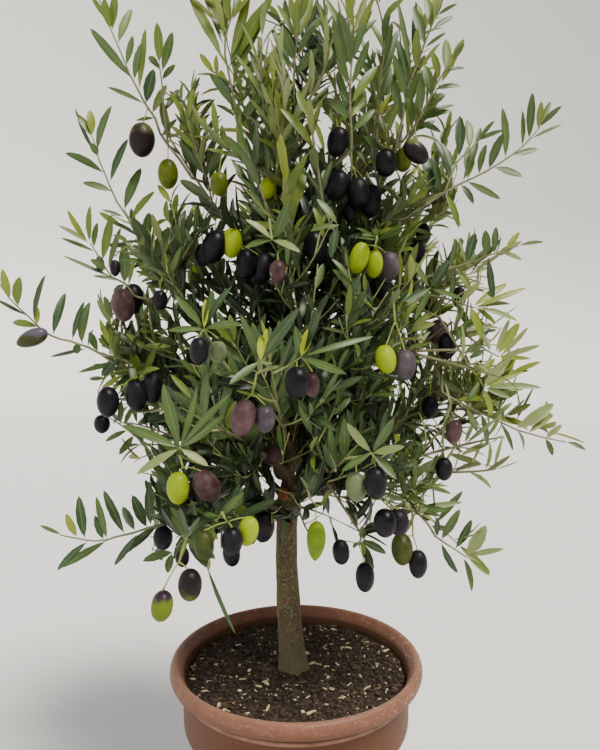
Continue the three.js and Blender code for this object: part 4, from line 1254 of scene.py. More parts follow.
      (298, 34, 287, -10, 7, 0.6), (297, 42, 293, -8, 8, 0.7), (300, 22, 307, -14, 8, 0.7),
      (299, 36, 316, -8, 10, 0.6), (298, 48, 325, 11, 9, 0.4), (297, 56, 313, 24, 9, 0.4),
      (295, 76, 316, 46, 10, 0.4), (294, 92, 270, 50, 8, 0.4), (294, 100, 262, 44, 8, 0.4),
      (296, 104, 318, 76, 9, 0.3), (296, 112, 276, 78, 9, 0.3), (297, 120, 322, 98, 8, 0.3)]),
    (-100, -110,
     [(352, 150), (351, 125), (350, 105), (350, 88), (351, 70), (353, 50), (354, 30), (353, 10),
      (353, -8)],
     [(350, 90, 327, 17, 7, 0.4), (352, 56, 331, -6, 8, 0.5), (351, 68, 342, 10, 13, 0.4),
      (354, 32, 345, -10, 7, 0.7), (354, 32, 366, -6, 7, 0.7), (353, 48, 373, -8, 6, 0.6),
      (351, 84, 323, 32, 9, 0.4), (351, 86, 373, 42, 9, 0.4), (351, 104, 379, 57, 10, 0.7),
      (352, 62, 364, 16, 8, 0.4), (353, 46, 375, 11, 7, 0.4), (350, 106, 331, 66, 8, 0.4),
      (351, 118, 372, 84, 9, 0.6), (351, 120, 326, 92, 9, 0.4), (352, 132, 376, 106, 8, 0.4)]),
    (-60, -80,
     [(377, 140), (378, 100), (380, 80), (383, 60), (384, 40), (382, 20), (378, 4), (375, -10)],
     [(382, 22, 401, -6, 8, 0.7), (384, 44, 385, 4, 8, 0.5), (384, 52, 374, 16, 8, 0.5),
      (381, 74, 394, 17, 8, 0.3), (380, 82, 401, 24, 8, 0.4), (378, 6, 368, -20, 6, 0.6),
      (378, 4, 390, -24, 7, 0.7), (379, 96, 366, 56, 8, 0.4), (378, 104, 396, 66, 9, 0.4)]),
    (-80, -110,
     [(396, 150), (402, 120), (406, 100), (410, 82), (418, 62), (424, 45), (430, 30), (436, 15), (441, 0)],
     [(431, 30, 428, -8, 9, 0.7), (434, 22, 442, -14, 8, 0.6), (432, 30, 453, 13, 6, 0.4),
      (437, 16, 456, 1, 4, 0.4), (424, 48, 446, 33, 5, 0.3), (425, 46, 415, 4, 10, 0.5),
      (412, 78, 398, -2, 6, 0.4), (415, 70, 412, 0, 6, 0.3), (416, 68, 414, 28, 8, 0.7),
      (408, 92, 402, 38, 11, 0.5), (406, 100, 395, 52, 8, 0.4), (404, 112, 419, 72, 9, 0.3),
      (402, 124, 392, 80, 9, 0.4), (407, 96, 422, 70, 6, 0.4)]),
    (-80, -120,
     [(402, 142), (415, 125), (423, 112), (430, 98), (436, 85), (444, 72), (452, 60)],
     [(445, 71, 449, 41, 10, 0.7), (452, 61, 465, 43, 5, 0.4), (439, 80, 435, 49, 8, 0.5),
      (431, 97, 426, 61, 10, 0.4), (445, 72, 466, 62, 5, 0.4), (434, 90, 461, 79, 6, 0.3),
      (426, 107, 446, 92, 10, 0.4), (420, 117, 457, 98, 6, 0.3), (418, 121, 453, 105, 7, 0.3),
      (416, 124, 444, 127, 9, 0.4), (420, 116, 419, 74, 9, 0.3), (412, 129, 412, 84, 9, 0.3),
      (410, 133, 438, 118, 6, 0.4), (452, 60, 464, 36, 6, 0.6)]),
    (-90, -120,
     [(425, 278), (445, 270), (465, 264), (490, 255), (518, 246)],
     [(518, 246, 546, 238, 4, 0.5), (468, 263, 472, 231, 10, 0.2), (486, 256, 488, 230, 9, 0.4),
      (494, 254, 497, 226, 7, 0.3), (488, 256, 493, 300, 7, 0.3), (500, 252, 524, 258, 6, SILVER),
      (455, 267, 474, 290, 8, 0.8), (450, 268, 459, 238, 6, 0.4), (505, 250, 521, 232, 6, 0.8)]),
]


def within(column, row, box):
    """Whether pixels are inside a box: its left, top, right and bottom."""
    return (column > box[0]) & (row > box[1]) & (column < box[2]) & (row < box[3])


def in_clearing(points):
    column, row, _ = to_picture(points)
    return np.any([within(column, row, box) for box in CLEARINGS], axis=0)


for shoot in shoots:
    _cut = in_clearing(shoot.points)
    if _cut.any():
        shoot.points = shoot.points[:_cut.argmax()]
        shoot.radii = shoot.radii[:_cut.argmax()]
shoots = [shoot for shoot in shoots if len(shoot.points) > 3]
_samples = np.vstack([shoot.points[1:] for shoot in shoots])
_sample_owner = np.concatenate([[shoot.owner] * (len(shoot.points) - 1) for shoot in shoots])
_sample_column, _sample_row, _sample_ahead = to_picture(_samples)
bearing_ends = []
posed_leaves = []  # each its root and its tip, the way its upper face looks, its width and its brightness


def nearest_twig(place, unfit):
    """The number of the twig point nearest to a place, apart from those that are unfit."""
    return int((np.linalg.norm(_samples - place, axis=1) + SOONER_ELSEWHERE * unfit).argmin())


def grow_bearing(end, twig, seed, leaf=1.0):
    """A short shoot from a twig to its end."""
    start = _samples[twig]
    middle = mix(start, end, 0.5) - UP * 0.08 * np.linalg.norm(end - start)
    points = curve_of(start, middle, end, np.linspace(0, 1, SHOOT_STEPS + 1))
    radii = np.linspace(*BEARING_RADII, len(points))
    add_shoot(points, radii, int(_sample_owner[twig]), 2, seed, leaf)


for column, row, y, _, _ in [*ROSETTES, HANGING_SHOOT]:
    _end = from_picture(column, row, y)
    _twig = nearest_twig(_end, _samples[:, 1] < y + TWIG_BEHIND)
    grow_bearing(_end, _twig, ROSETTE_SEEDS + column, BARE)
for number, (*_pixels, _y_start, _y_end, _leaf) in enumerate(WANDS):
    _foot = _samples[nearest_twig(from_picture(*_pixels[:2], _y_start), False)]
    _over = from_picture(*_pixels[2:4], (_y_start + _y_end) / 2)
    _end = from_picture(*_pixels[4:], _y_end)
    _end -= unit(_end - _over) * LEAF_LENGTH * 0.86
    _points = curve_of(_foot, 2 * _over - (_foot + _end) / 2, _end, np.linspace(0, 1, WAND_STEPS))
    _radii = np.linspace(*WAND_RADII, WAND_STEPS)
    add_shoot(_points, _radii, FREE, 0, WAND_SEEDS + number, _leaf)
for number, (_y_foot, _y_tip, _line, _leaves) in enumerate(POSED_WANDS):
    _depths = np.linspace(_y_foot, _y_tip, len(_line))
    _points = np.array([from_picture(*place, y) for place, y in zip(_line, _depths)])
    _past = (_samples - _points[0]) @ (_points[1] - _points[0]) > 0
    _foot = _samples[nearest_twig(_points[0], (_samples[:, 1] < _y_foot + TWIG_BEHIND) | _past)]
    _radii = np.linspace(*POSED_RADII, len(_points) + 1)
    add_shoot(np.vstack([_foot, _points]), _radii, FREE, 0, POSED_SEEDS + number, BARE)
    _draw = seeded(POSED_SEEDS + number)
    for column, row, tip_column, tip_row, wide, bright in _leaves:
        _depth = _depths[np.hypot(*(np.array(_line) - [column, row]).T).argmin()]
        _root = from_picture(column, row, _depth)
        _tip = from_picture(tip_column, tip_row, _depth + mix(-16, 12, _draw()))
        _face = FRONT + level_way(0) * mix(-0.5, 0.5, _draw())
        _width = wide * (_root[1] - CAMERA_PLACE[1]) / FOCUS
        posed_leaves.append((_root, _tip, _face, _width, bright))
_every = np.vstack([shoot.points for shoot in shoots])
_every_column, _every_row, _ = to_picture(_every)
for column, row in CLUSTER_NODES:
    _aside = np.hypot(_sample_column - column, _sample_row - row)
    _cost = _aside / 9 + (_sample_ahead - NEAR_VIEW) / 60
    _twig = int(_cost.argmin())
    _y = _samples[_twig][1]
    _near = np.abs(_every_column - column) < CLUSTER_WIDTH
    _near &= np.abs(_every_row - row - CLUSTER_HANG) < CLUSTER_DROP
    _y = min(_y - 20, max(_y - CLUSTER_FORWARD, np.append(_every[_near, 1], _y).min() - 4))
    bearing_ends.append(from_picture(column, row, _y))
    grow_bearing(bearing_ends[-1], _twig, CLUSTER_SEEDS + column)


def grown_wood(name, colour, pale, scale, young=None):
    """Smooth bark with fine streaks, and of another colour where it is young."""
    material, shader = new_material(name, colour, 0.6, Specular_IOR_Level=0.35)
    streaks, height = mottled(place_in(shader), scale, cover=0.5, softness=0.15)
    if young:
        out = split_place(place_in(shader))[2]
        colour = blended(ramped(out, *YOUNG_FROM), colour, young)
    dress(shader, blended(streaks, colour, pale), height, strength=0.3, distance=0.5)
    return material


stem_skin = grown_wood("stem_wood", STEM_WOOD, (0.2, 0.195, 0.1), 120, YOUNG_WOOD)
shoot_skin = grown_wood("shoot_wood", SHOOT_WOOD, (0.34, 0.36, 0.15), 90)
for _order, (_name, _sides, _skin, _slot) in enumerate((
    ("stems", 8, stem_skin, "bark"),
    ("side_shoots", 5, shoot_skin, "foliage"),
    ("fine_twigs", 4, shoot_skin, "foliage"),
)):
    _mine = [shoot for shoot in shoots if shoot.order == _order]
    _tubes = [tube(shoot.points, shoot.radii, _sides) for shoot in _mine]
    make_piece(_name, *joined(_tubes), [_skin], _slot)


# Olives: plump drupes on thin green stalks, at every stage from bright green through mauve to
# black. Those of the front hang where the picture shows them, singly from the nearest twig
# above, or in clusters from one shoot. The others hang from side shoots by the tree's rule.
OLIVE_LENGTH = 30
OLIVE_WIDTH = 21
OLIVE_RINGS = 12
OLIVE_SIDES = 14
OLIVE_ROUGHNESS = (0.34, 0.55)
STALK_RADIUS = 0.8
STALK_SHAPE = (1, 0.95, 0.85, 0.8, 0.85, 1.0, 1.7)  # its radius from the twig to the olive
# Clusters, in the order of CLUSTER_NODES: where its stalk forks, and the column, row and
# ripeness of each olive. One that is unlike the rest also has its length and width beside
# theirs, and where it isn't 0, how far its top leans to the right and how pointed it is.
CLUSTERS = [
    ((395, 322), [(386, 359, "green"), (405, 365, "mauve")]),
    ((252, 394), [(243, 418, "wine", 1.08, 1.1, 0.25), (265, 419, "mauve", 0.86, 1)]),
    ((352, 166), [
        (337, 186, "black", 0.96, 1.06, 0.4), (358, 193, "black", 1, 1.08, -0.1), (371, 201, "black"),
        (350, 212, "black", 0.7, 0.68),
    ]),
    ((375, 246), [
        (359, 258, "green", 1, 0.88, 0.3), (374, 264, "green", 0.94, 0.86, 0.05), (388, 267, "mauve"),
        (381, 285, "black"),
    ]),
    ((183, 467), [(178, 488, "green", 1.06, 1.08), (207, 486, "wine", 1.02, 1.14, -0.6)]),
    ((359, 545), [(341, 552, "black", 0.84, 0.82, -0.1), (365, 577, "black", 0.94, 0.92)]),
    ((413, 536), [(418, 564, "black", 0.96, 0.94), (402, 549, "dusty")]),
    ((179, 562), [(162, 606, "greening"), (190, 585, "turning")]),
    ((228, 522), [(204, 545, "dusty"), (232, 541, "black", 0.88, 0.98), (248, 531, "green")]),
    ((138, 382), [(108, 402, "black"), (136, 395, "black"), (152, 388, "black")]),
    ((388, 506), [(385, 523, "black", 0.9, 1.05), (398, 522, "black", 0.9, 1.05)]),
    ((238, 244), [
        (214, 247, "black", 1.05, 1.05, 0.4), (246, 264, "black"), (262, 269, "black"),
        (232, 243, "green"),
    ]),
]
# Single olives: the same of each.
SINGLE_OLIVES = [
    (142, 140, "tinged", 1.05, 1.12, 0.05), (168, 174, "mossy", 1, 1.04), (386, 163, "black", 0.88, 1.04),
    (416, 152, "tinged", 0.85, 0.85, -1.1), (403, 160, "mossy", 0.75, 0.8), (273, 455, "wine", 0.66, 0.82),
    (163, 538, "black", 0.82, 0.98), (264, 527, "black"), (316, 541, "unripe", 1.36, 1, 0.05, 0.6),
    (102, 424, "black", 0.6, 0.7), (199, 351, "black", 0.9, 0.96), (218, 352, "hazy", 0.7, 0.84),
    (203, 255, "black", 0.8, 0.85), (278, 272, "wine", 0.75, 0.8), (297, 382, "black", 0.9, 1.1, 0.1),
    (312, 385, "wine", 0.75, 0.75), (376, 483, "black"), (356, 487, "hazy"),
    (438, 332, "wine", 0.82, 0.95, 0.2), (447, 346, "black", 0.9, 0.9),
    (454, 432, "wine", 0.78, 0.78, 0.15, 0.2), (444, 469, "black", 0.8, 0.85),
    (32, 338, "slate", 1.05, 0.8, 2.4, 0.35), (268, 188, "green", 0.72, 0.86, 0.1),
    (219, 184, "mossy", 0.75, 0.86), (123, 305, "wine"), (133, 299, "black"),
    (115, 268, "black", 0.5, 0.45), (338, 142, "black", 0.95, 1.1, 0.2), (315, 247, "black"),
    (430, 407, "black", 0.75, 0.8), (160, 300, "black", 0.62, 0.66),
]
FAR_VIEW = 620  # past this far ahead, a pictured olive is larger so that it looks its size
MOST_GAIN = 1.25
HANG = 24  # pixels from an olive's middle up to its twig, as far as there is a choice
HANG_RANGE = (12, 46)
REACH_ASIDE = 34
BEARING_SHARE = 0.42  # of the side shoots at the sides and the back
MOST_PER_SHOOT = 2.4
FRUIT_STALKS = (10, 26)
FRUIT_SPREAD = (5, 15)
FRUIT_KINDS = ("black", "wine", "mauve", "green", "black", "dusty", "turning", "black")

# Windows, where the picture shows what is behind the leaves: left, top, right and bottom, how
# far ahead of the camera leaves are dropped, and one in how many stays. The trunk's fork, the
# dark hollow over it, the trunk below the crown, the gap at its right and the gap at the upper
# left, then the shade behind three rosettes. The first four are also kept free of olives.
WINDOWS = [
    ((277, 418, 305, 508), 830, 12),
    ((284, 272, 344, 336), 800, 4),
    ((262, 524, 334, 640), 830, 99),
    ((302, 498, 348, 536), 830, 5),
    ((96, 192, 168, 242), 2000, 4),
    ((222, 318, 320, 400), 640, 3),
    ((328, 392, 396, 474), 660, 3),
    ((150, 395, 226, 470), 640, 3),
]
FREE_OF_OLIVES = WINDOWS[:4]
OLIVE_MARGINS = (-12, -12, 8, 0)

# Each kind's dark and light colour. The last four turn from one to the other.
RIPENESS = {
    "green": ((0.24, 0.33, 0.001), (0.34, 0.42, 0.006)),
    "unripe": ((0.1, 0.18, 0.006), (0.2, 0.29, 0.012)),
    "mossy": ((0.06, 0.08, 0.003), (0.13, 0.155, 0.006)),
    "dusty": ((0.022, 0.03, 0.005), (0.065, 0.08, 0.015)),
    "hazy": ((0.09, 0.12, 0.05), (0.17, 0.2, 0.1)),
    "wine": ((0.045, 0.018, 0.02), (0.135, 0.078, 0.082)),
    "mauve": ((0.038, 0.027, 0.034), (0.11, 0.086, 0.1)),
    "black": ((0.0028, 0.002, 0.003), (0.0138, 0.0108, 0.0168)),
    "turning": ((0.012, 0.007, 0.008), (0.09, 0.12, 0.01)),
    "greening": ((0.03, 0.018, 0.024), (0.12, 0.17, 0.008)),
    "slate": ((0.085, 0.075, 0.1), (0.04, 0.048, 0.014)),
    "tinged": ((0.15, 0.15, 0.035), (0.014, 0.007, 0.008)),
}
# Where they do, from 0 at the olive's top to 1.
TURNS = {"turning": (0.5, 0.95), "greening": (0.1, 0.45), "slate": (0.2, 0.5), "tinged": (-0.05, 0.32)}

olives = []


def add_olive(middle, twig, ripeness, top=None, size=1, odd=None, pictured=False):
    """An olive by its middle, the point of the twig that its stalk leaves, its ripeness, the
    top where the stalk ends, its size, how it is unlike the rest and whether it is pictured."""
    if top is None:
        top = middle + UP * (OLIVE_LENGTH / 2 - 2.5)
    olives.append(SimpleNamespace(
        middle=middle, twig=twig, ripeness=ripeness, top=top, size=size, odd=odd, pictured=pictured,
    ))


def hang_pictured(column, row, y, twig, ripeness, odd):
    """The olive seen at a pixel, as far back as y or behind one that hangs there already."""
    middle = from_picture(column, row, y)
    for other in olives:
        offset = middle - other.middle
        flat = math.hypot(offset[0], offset[2] * OLIVE_WIDTH / OLIVE_LENGTH)
        if flat < OLIVE_WIDTH and abs(offset[1]) < OLIVE_WIDTH - 0.5:
            back = other.middle[1] + math.sqrt(OLIVE_WIDTH**2 - flat**2)
            middle = from_picture(column, row, back)
    size = min(MOST_GAIN, max(1, (middle[1] - CAMERA_PLACE[1]) / FAR_VIEW))
    top = None
    odd = odd and (*odd, 0, 0)[:4]
    if odd and odd[2] > 1:
        top = middle + unit(UP + level_way(0) * odd[2]) * OLIVE_LENGTH * 0.5
        twig = _samples[np.linalg.norm(_samples - top, axis=1).argmin()]
    add_olive(middle, twig, ripeness, top, size, odd, True)


_samples = np.vstack([shoot.points[2:] for shoot in shoots])
_sample_column, _sample_row, _sample_ahead = to_picture(_samples)
cluster_stalks = []
for _end, (_fork, _members) in zip(bearing_ends, CLUSTERS):
    _fork_place = from_picture(*_fork, _end[1] - 3)
    _bend = mix(_end, _fork_place, 0.5) - UP * 2
    cluster_stalks.append(curve_of(_end, _bend, _fork_place, np.linspace(0, 1, 5)))
    for column, row, ripeness, *odd in _members:
        hang_pictured(column, row, _end[1] - 6, _fork_place, ripeness, odd)
for column, row, ripeness, *odd in SINGLE_OLIVES:
    _aside = np.abs(_sample_column - column)
    _above = row - _sample_row
    _cost = _aside / 9 + np.abs(_above - HANG) / 12 + (_sample_ahead - NEAR_VIEW) / 75
    _cost[(_aside > REACH_ASIDE) | (_above < HANG_RANGE[0]) | (_above > HANG_RANGE[1])] = np.inf
    _best = int(_cost.argmin())
    if np.isfinite(_cost[_best]):
        hang_pictured(column, row, _samples[_best][1] - 4, _samples[_best], ripeness, odd)

for shoot in shoots:
    _draw = seeded(shoot.seed * 13 + 5)
    _root = shoot.points[int(mix(2, 5, _draw()))]
    if shoot.order != 1 or _draw() > BEARING_SHARE or _root[1] < 0.35 * abs(_root[0]) - 60:
        continue
    for _ in range(1 + int(_draw() * MOST_PER_SHOOT)):
        _out = level_way(360 * _draw()) * mix(*FRUIT_SPREAD, _draw())
        _middle = _root + _out - UP * (mix(*FRUIT_STALKS, _draw()) + OLIVE_LENGTH / 2)
        _others = np.array([other.middle for other in olives])
        if np.linalg.norm(_others - _middle, axis=1).min() < OLIVE_LENGTH * 0.8:
            continue
        if not clear_of_wood(_middle[None], OLIVE_WIDTH / 2 + 1)[0]:
            continue
        _column, _row, _ahead = to_picture(_middle)
        _hides = [
            within(_column, _row, np.add(box, OLIVE_MARGINS)) and _ahead < ahead
            for box, ahead, _ in FREE_OF_OLIVES
        ]
        if not any(_hides):
            add_olive(_middle, _root, FRUIT_KINDS[int(_draw() * len(FRUIT_KINDS))])


def olive_form(length, width, tilt_way, tilt, point):
    """One olive about the origin: rings from its stalk end down to its tip."""
    share = np.linspace(0, 1, OLIVE_RINGS)
    girth = np.sin(math.pi * share) ** 0.9 * (1 - 0.1 * (share - 0.5)) * (1 - point * share**3)
    height = length / 2 * np.cos(math.pi * share)
    rings = [ring(width / 2 * wide, high, OLIVE_SIDES) for wide, high in zip(girth[1:-1], height[1:-1])]
    vertices = np.vstack([[0, 0, height[0] - 0.6], *rings, [0, 0, height[-1] - 0.5]])
    lean = unit(UP + tilt_way * tilt)
    side = unit(np.cross(UP, lean + tilt_way * 0.001))
    return vertices @ np.array([side, np.cross(lean, side), lean])


def spun_faces(bands, sides):
    """Faces from a first point to the ring after it, and on from ring to ring."""
    here = np.arange(sides)
    after = (here + 1) % sides
    band = np.column_stack([here, here + sides, after + sides, after]) + 1
    faces = list(zip([0] * sides, (here + 1).tolist(), (after + 1).tolist()))
    for i in range(bands):
        faces += [tuple(row) for row in (band + i * sides).tolist()]
    return faces


_last = 1 + (OLIVE_RINGS - 3) * OLIVE_SIDES
OLIVE_FACES = spun_faces(OLIVE_RINGS - 3, OLIVE_SIDES)
OLIVE_FACES += [
    (_last + k, _last + OLIVE_SIDES, _last + (k + 1) % OLIVE_SIDES) for k in range(OLIVE_SIDES)
]


def from_attribute(shader, name):
    """A number that the mesh holds at each of its vertices."""
    node = node_beside(shader, "Attribute")
    node.attribute_name = name
    return node.outputs["Fac"]


def olive_skin(ripeness):
    """Waxy skin with pale specks and a dull bloom. Four kinds change colour from end to end."""
    dark, light = RIPENESS[ripeness]
    material, shader = new_material("olive_" + ripeness, dark, 0.45, Specular_IOR_Level=0.18)
    bloom, _ = mottled(place_in(shader), scale=75, cover=0.48, softness=0.25)
    specks, speck_height = mottled(place_in(shader), scale=900, cover=0.3, softness=0.03)
    share = bloom
    if ripeness in TURNS:
        down = from_attribute(shader, "downwards")
        edge = worked_out("ADD", down, ramped(bloom, 0, 1, -0.14, 0.14))
        share = ramped(edge, *TURNS[ripeness])
    freckle = tuple(min(1, part * 1.3 + 0.015) for part in light)
    skin = blended(specks, blended(share, dark, light), freckle)
    roughness = ramped(bloom, 0, 1, *OLIVE_ROUGHNESS)
    dress(shader, skin, speck_height, strength=0.1, distance=0.3, roughness=roughness)
    return material


for ripeness in RIPENESS:
    _parts, _downs = [], []
    for number, olive in enumerate(olives):
        if olive.ripeness != ripeness:
            continue
        _draw = seeded(number * 17 + 29)
        _size = olive.size * mix(0.92, 1.06, _draw())
        _width = OLIVE_WIDTH * _size * mix(0.93, 1.04, _draw())
        _lean_way, _lean = level_way(360 * _draw()), mix(0, 0.24, _draw())
        _longer, _wider, _point = 1, 1, 0
        if olive.odd:
            _longer, _wider, _lean, _point = olive.odd
            _lean_way = level_way(0)
        _form = olive_form(OLIVE_LENGTH * _size * _longer, _width * _wider, _lean_way, _lean, _point)
        _parts.append((_form + olive.middle, OLIVE_FACES))
        _downs.append((_form[:, 2].max() - _form[:, 2]) / np.ptp(_form[:, 2]))
    piece = make_piece("olives_" + ripeness, *joined(_parts), [olive_skin(ripeness)], "foliage")
    _down = piece.data.attributes.new("downwards", "FLOAT", "POINT")
    _down.data.foreach_set("value", np.concatenate(_downs).astype(np.float32))

stalk_skin = grown_wood("stalk_green", (0.2, 0.25, 0.04), (0.32, 0.36, 0.08), 110)
_stalks = [tube(line, np.linspace(1.15, 0.95, len(line)), 6) for line in cluster_stalks]
for olive in olives:
    _top = olive.top
    _bend = mix(olive.twig, _top, 0.45) + UP * 0.12 * np.linalg.norm(_top - olive.twig)
    _line = curve_of(olive.twig, _bend, _top, np.linspace(0, 1, len(STALK_SHAPE)))
    _stalks.append(tube(_line, np.array(STALK_SHAPE) * STALK_RADIUS, 5))
make_piece("olive_stalks", *joined(_stalks), [stalk_skin], "foliage")


# Leaves: narrow leathery blades in opposite pairs, each pair turned a quarter from the last,
# folded a little along the midrib, dark and waxy above and grey-green below. Each tint is a
# piece of its own, dealt out by shoot: painted darker inside as shade, painted paler outside,
# above and on the sunny side as light, and yellow at tips.
LEAF_WIDTH = 9.6
LEAF_THICKNESS = 0.55
LEAF_FOLD = 0.3  # how steeply its halves rise from the midrib
LEAF_ANGLE = 42
WAND_LEAF_ANGLES = (58, 31)  # where the wand is level, and where it is upright
LEAF_LIFTS = (0.1, 0.6)
WAND_LEAF_LIFTS = (0.5, 2.1)
LEAF_ROLL = 35
SLIM = 0.66  # width of leaves that show their pale side
FACES_OUT = 0.5  # how far leaves turn their upper faces outwards, upwards and to the front
FACES_UP = 0.8
FACES_FRONT = 0.4
INTERNODES = (17, 14.5, 11)  # between pairs of leaves on stems, side shoots and twigs
LEAF_SIZES = (1.06, 0.9, 0.76)  # on the same
LEAF_STATIONS = (0.07, 0.2, 0.42, 0.68, 0.9)
LEAF_OUTLINE = (0.1, 0.58, 1.0, 0.95, 0.52)  # half widths there
LEAF_SLACK = 24  # how far a leaf may reach into the next mass's space
LEAF_ROOM = 1.5  # clear of the wood
MOST_LEAVES = 4700  # in one piece
# Tints: the upper face's two tones, and the lower face's.
LEAF_TINTS = {
    "shade": ((0.006, 0.012, 0.004), (0.012, 0.023, 0.007), (0.022, 0.034, 0.013)),
    "deep": ((0.021, 0.048, 0.015), (0.038, 0.072, 0.022), (0.08, 0.11, 0.05)),
    "green": ((0.047, 0.087, 0.018), (0.073, 0.122, 0.026), (0.11, 0.145, 0.06)),
    "olive": ((0.09, 0.134, 0.012), (0.136, 0.182, 0.02), (0.16, 0.195, 0.055)),
    "fresh": ((0.16, 0.21, 0.01), (0.22, 0.265, 0.02), (0.22, 0.26, 0.07)),
    "young": ((0.34, 0.39, 0.012), (0.43, 0.47, 0.03), (0.36, 0.4, 0.05)),
    "silver": ((0.16, 0.205, 0.062), (0.225, 0.27, 0.095), (0.225, 0.258, 0.11)),
}
TINT_STEPS = (0.04, 0.27, 0.5, 0.76, 1.2, 2.5)  # brightness at which one tint gives way to the next
RIB_EDGE = (0.82, 0.98)
RIB_STRENGTH = 0.3
RIB_COLOUR = (0.24, 0.28, 0.11)
BEND = (-0.2, 1.0)  # ranges of how much leaves bend down, twist in degrees, vary in width and
TWIST = (-55, 55)  # sweep to one side
WIDTHS = (0.84, 1.16)
SWEEP = (-0.16, 0.16)
YOUNG_LENGTH = 34  # of a shoot's tip, where its leaves are young
CROWN_RADIUS = 300
PALER_FROM, PALER_OVER = 500, 560  # the height where leaves start to be painted paler upwards, as light, and over what
CROWN_TAPER = (700, 1180)  # heights at which the crown starts to narrow, and where it ends
SHADE = 0.62  # how much darker leaves are painted at the crown's axis, as shade
SHADE_SHARE = 0.62  # of the crown's radius, up to where they are less bright
UNDER_SHADE = 0.13  # how much darker those low in the crown's front are painted, as shade
UNDER_FRONT, UNDER_MIDDLE, UNDER_HALF, UNDER_TOP = -60, -10, 120, 800  # and where these are
SUNNY = (110, 60, 400, 760)  # the sunny side, where leaves are painted paler as sunlit: right of x, in front of y, between two heights
SILVER_SHARES = (0.02, 0.42)  # of shoots that show their pale side, elsewhere and there
ROSETTE_ROOM = 20  # pixels round a rosette's middle that other leaves don't hide
LEAF_SEEDS = 9000

# Kinds of posed leaves: their length, and the brightness and the width of each in turn.
POSED_KINDS = {
    "broad": (50, (0.42, 0.2, 0.3), (0.85, 1.15, 0.75)),
    "pale": (54, (SILVER, 0.3, 0.45), (0.8, 1.15, 0.75)),
    "young": (26, (YOUNG, YOUNG, YOUNG), (0.7, 0.6, 0.7)),
    "slim": (60, (0.2, 0.2, 0.2), (0.5, 0.5, 0.5)),
    "dark": (50, (0.2, 0.2, 0.2), (1.1, 0.9, 1.0)),
}

leaf_rows = []  # root, growth, angle, roll, length, bend, twist, brightness, owner, width, lift, sweep


def brightness(point, draw):
    """How pale the leaves of a shoot are painted, from where it stands: paler outwards, upwards and on the
    sunny side as painted light, with a random tone of their own.
    """
    outward = min(1, math.hypot(point[0], point[1]) / CROWN_RADIUS)
    upward = min(1, max(0, (point[2] - PALER_FROM) / PALER_OVER))
    sunny = point[0] > SUNNY[0] and point[1] < SUNNY[1] and SUNNY[2] < point[2] < SUNNY[3]
    if draw() < SILVER_SHARES[sunny]:
        return SILVER
    # Painted light: paler outwards, upwards and more so on the sunny side; the drawn number is the shoot's
    # own tone.
    return 0.04 + 0.38 * outward * (0.6 + 0.4 * sunny) + 0.44 * upward + 0.5 * (draw() - 0.35)


def point_along(points, lengths, at):
    """The point of a line at a length of it."""
    at = min(lengths[-1], max(0, at))
    return np.array([np.interp(at, lengths, points[:, axis]) for axis in range(3)])


for shoot in shoots:
    if shoot.leaf == BARE:
        continue
    _draw = seeded(shoot.seed * 31 + 11 + shoot.order)
    _points = shoot.points
    _lengths = np.concatenate([[0], np.cumsum(np.linalg.norm(np.diff(_points, axis=0), axis=1))])
    _whole = _lengths[-1]
    _spacing = INTERNODES[shoot.order]
    _bright = brightness(_points[-1], _draw)
    _rise = max(0, unit(_points[-1] - _points[0])[2])
    _leaf_angle = mix(*WAND_LEAF_ANGLES, _rise) if shoot.order == 0 else LEAF_ANGLE
    _lifts = LEAF_LIFTS
    if shoot.order == 0:
        _lifts = [lift * (1.1 - _rise) for lift in WAND_LEAF_LIFTS]
    _full = LEAF_LENGTH * LEAF_SIZES[shoot.order] * shoot.leaf
    _slim = SLIM if _bright == SILVER else 1
    for i in range(max(1, int((_whole - 8) / _spacing)) + 1):
        _at = min(_whole, 10 + i * _spacing * mix(0.93, 1.07, _draw()))
        _root = point_along(_points, _lengths, _at)
        _growth = unit(point_along(_points, _lengths, _at + 3) - point_along(_points, _lengths, _at - 3))
        _youth = max(0, 1 - (_whole - _at) / YOUNG_LENGTH)
        for side in (0, 180):
            _length = _full * mix(0.82, 1.18, _draw()) * (1 - 0.32 * _youth)
            _angle = (_leaf_angle + mix(-10, 12, _draw())) * (1 - 0.45 * _youth)
            _roll = LEAF_ROLL * shoot.seed + 90 * i + side + mix(-16, 16, _draw())
            _tone = _bright + 0.34 * _youth * (shoot.seed % 3 == 0) + 0.08 * _youth
            _tone += mix(-0.08, 0.08, _draw())
            leaf_rows.append((
                *_root, *_growth, _angle, _roll, _length, mix(*BEND, _draw()), mix(*TWIST, _draw()),
                _tone, shoot.owner, mix(*WIDTHS, _draw()) * shoot.leaf * _slim,
                mix(*_lifts, _draw()) * (1 - 0.6 * _youth), mix(*SWEEP, _draw()),
            ))
    leaf_rows.append((
        *_points[-1], *unit(_points[-1] - _points[-2]), 5, 0, _full * 0.86, 0.1,
        mix(-60, 60, _draw()), _bright + 0.2, shoot.owner, 0.9, 0.1, 0,
    ))

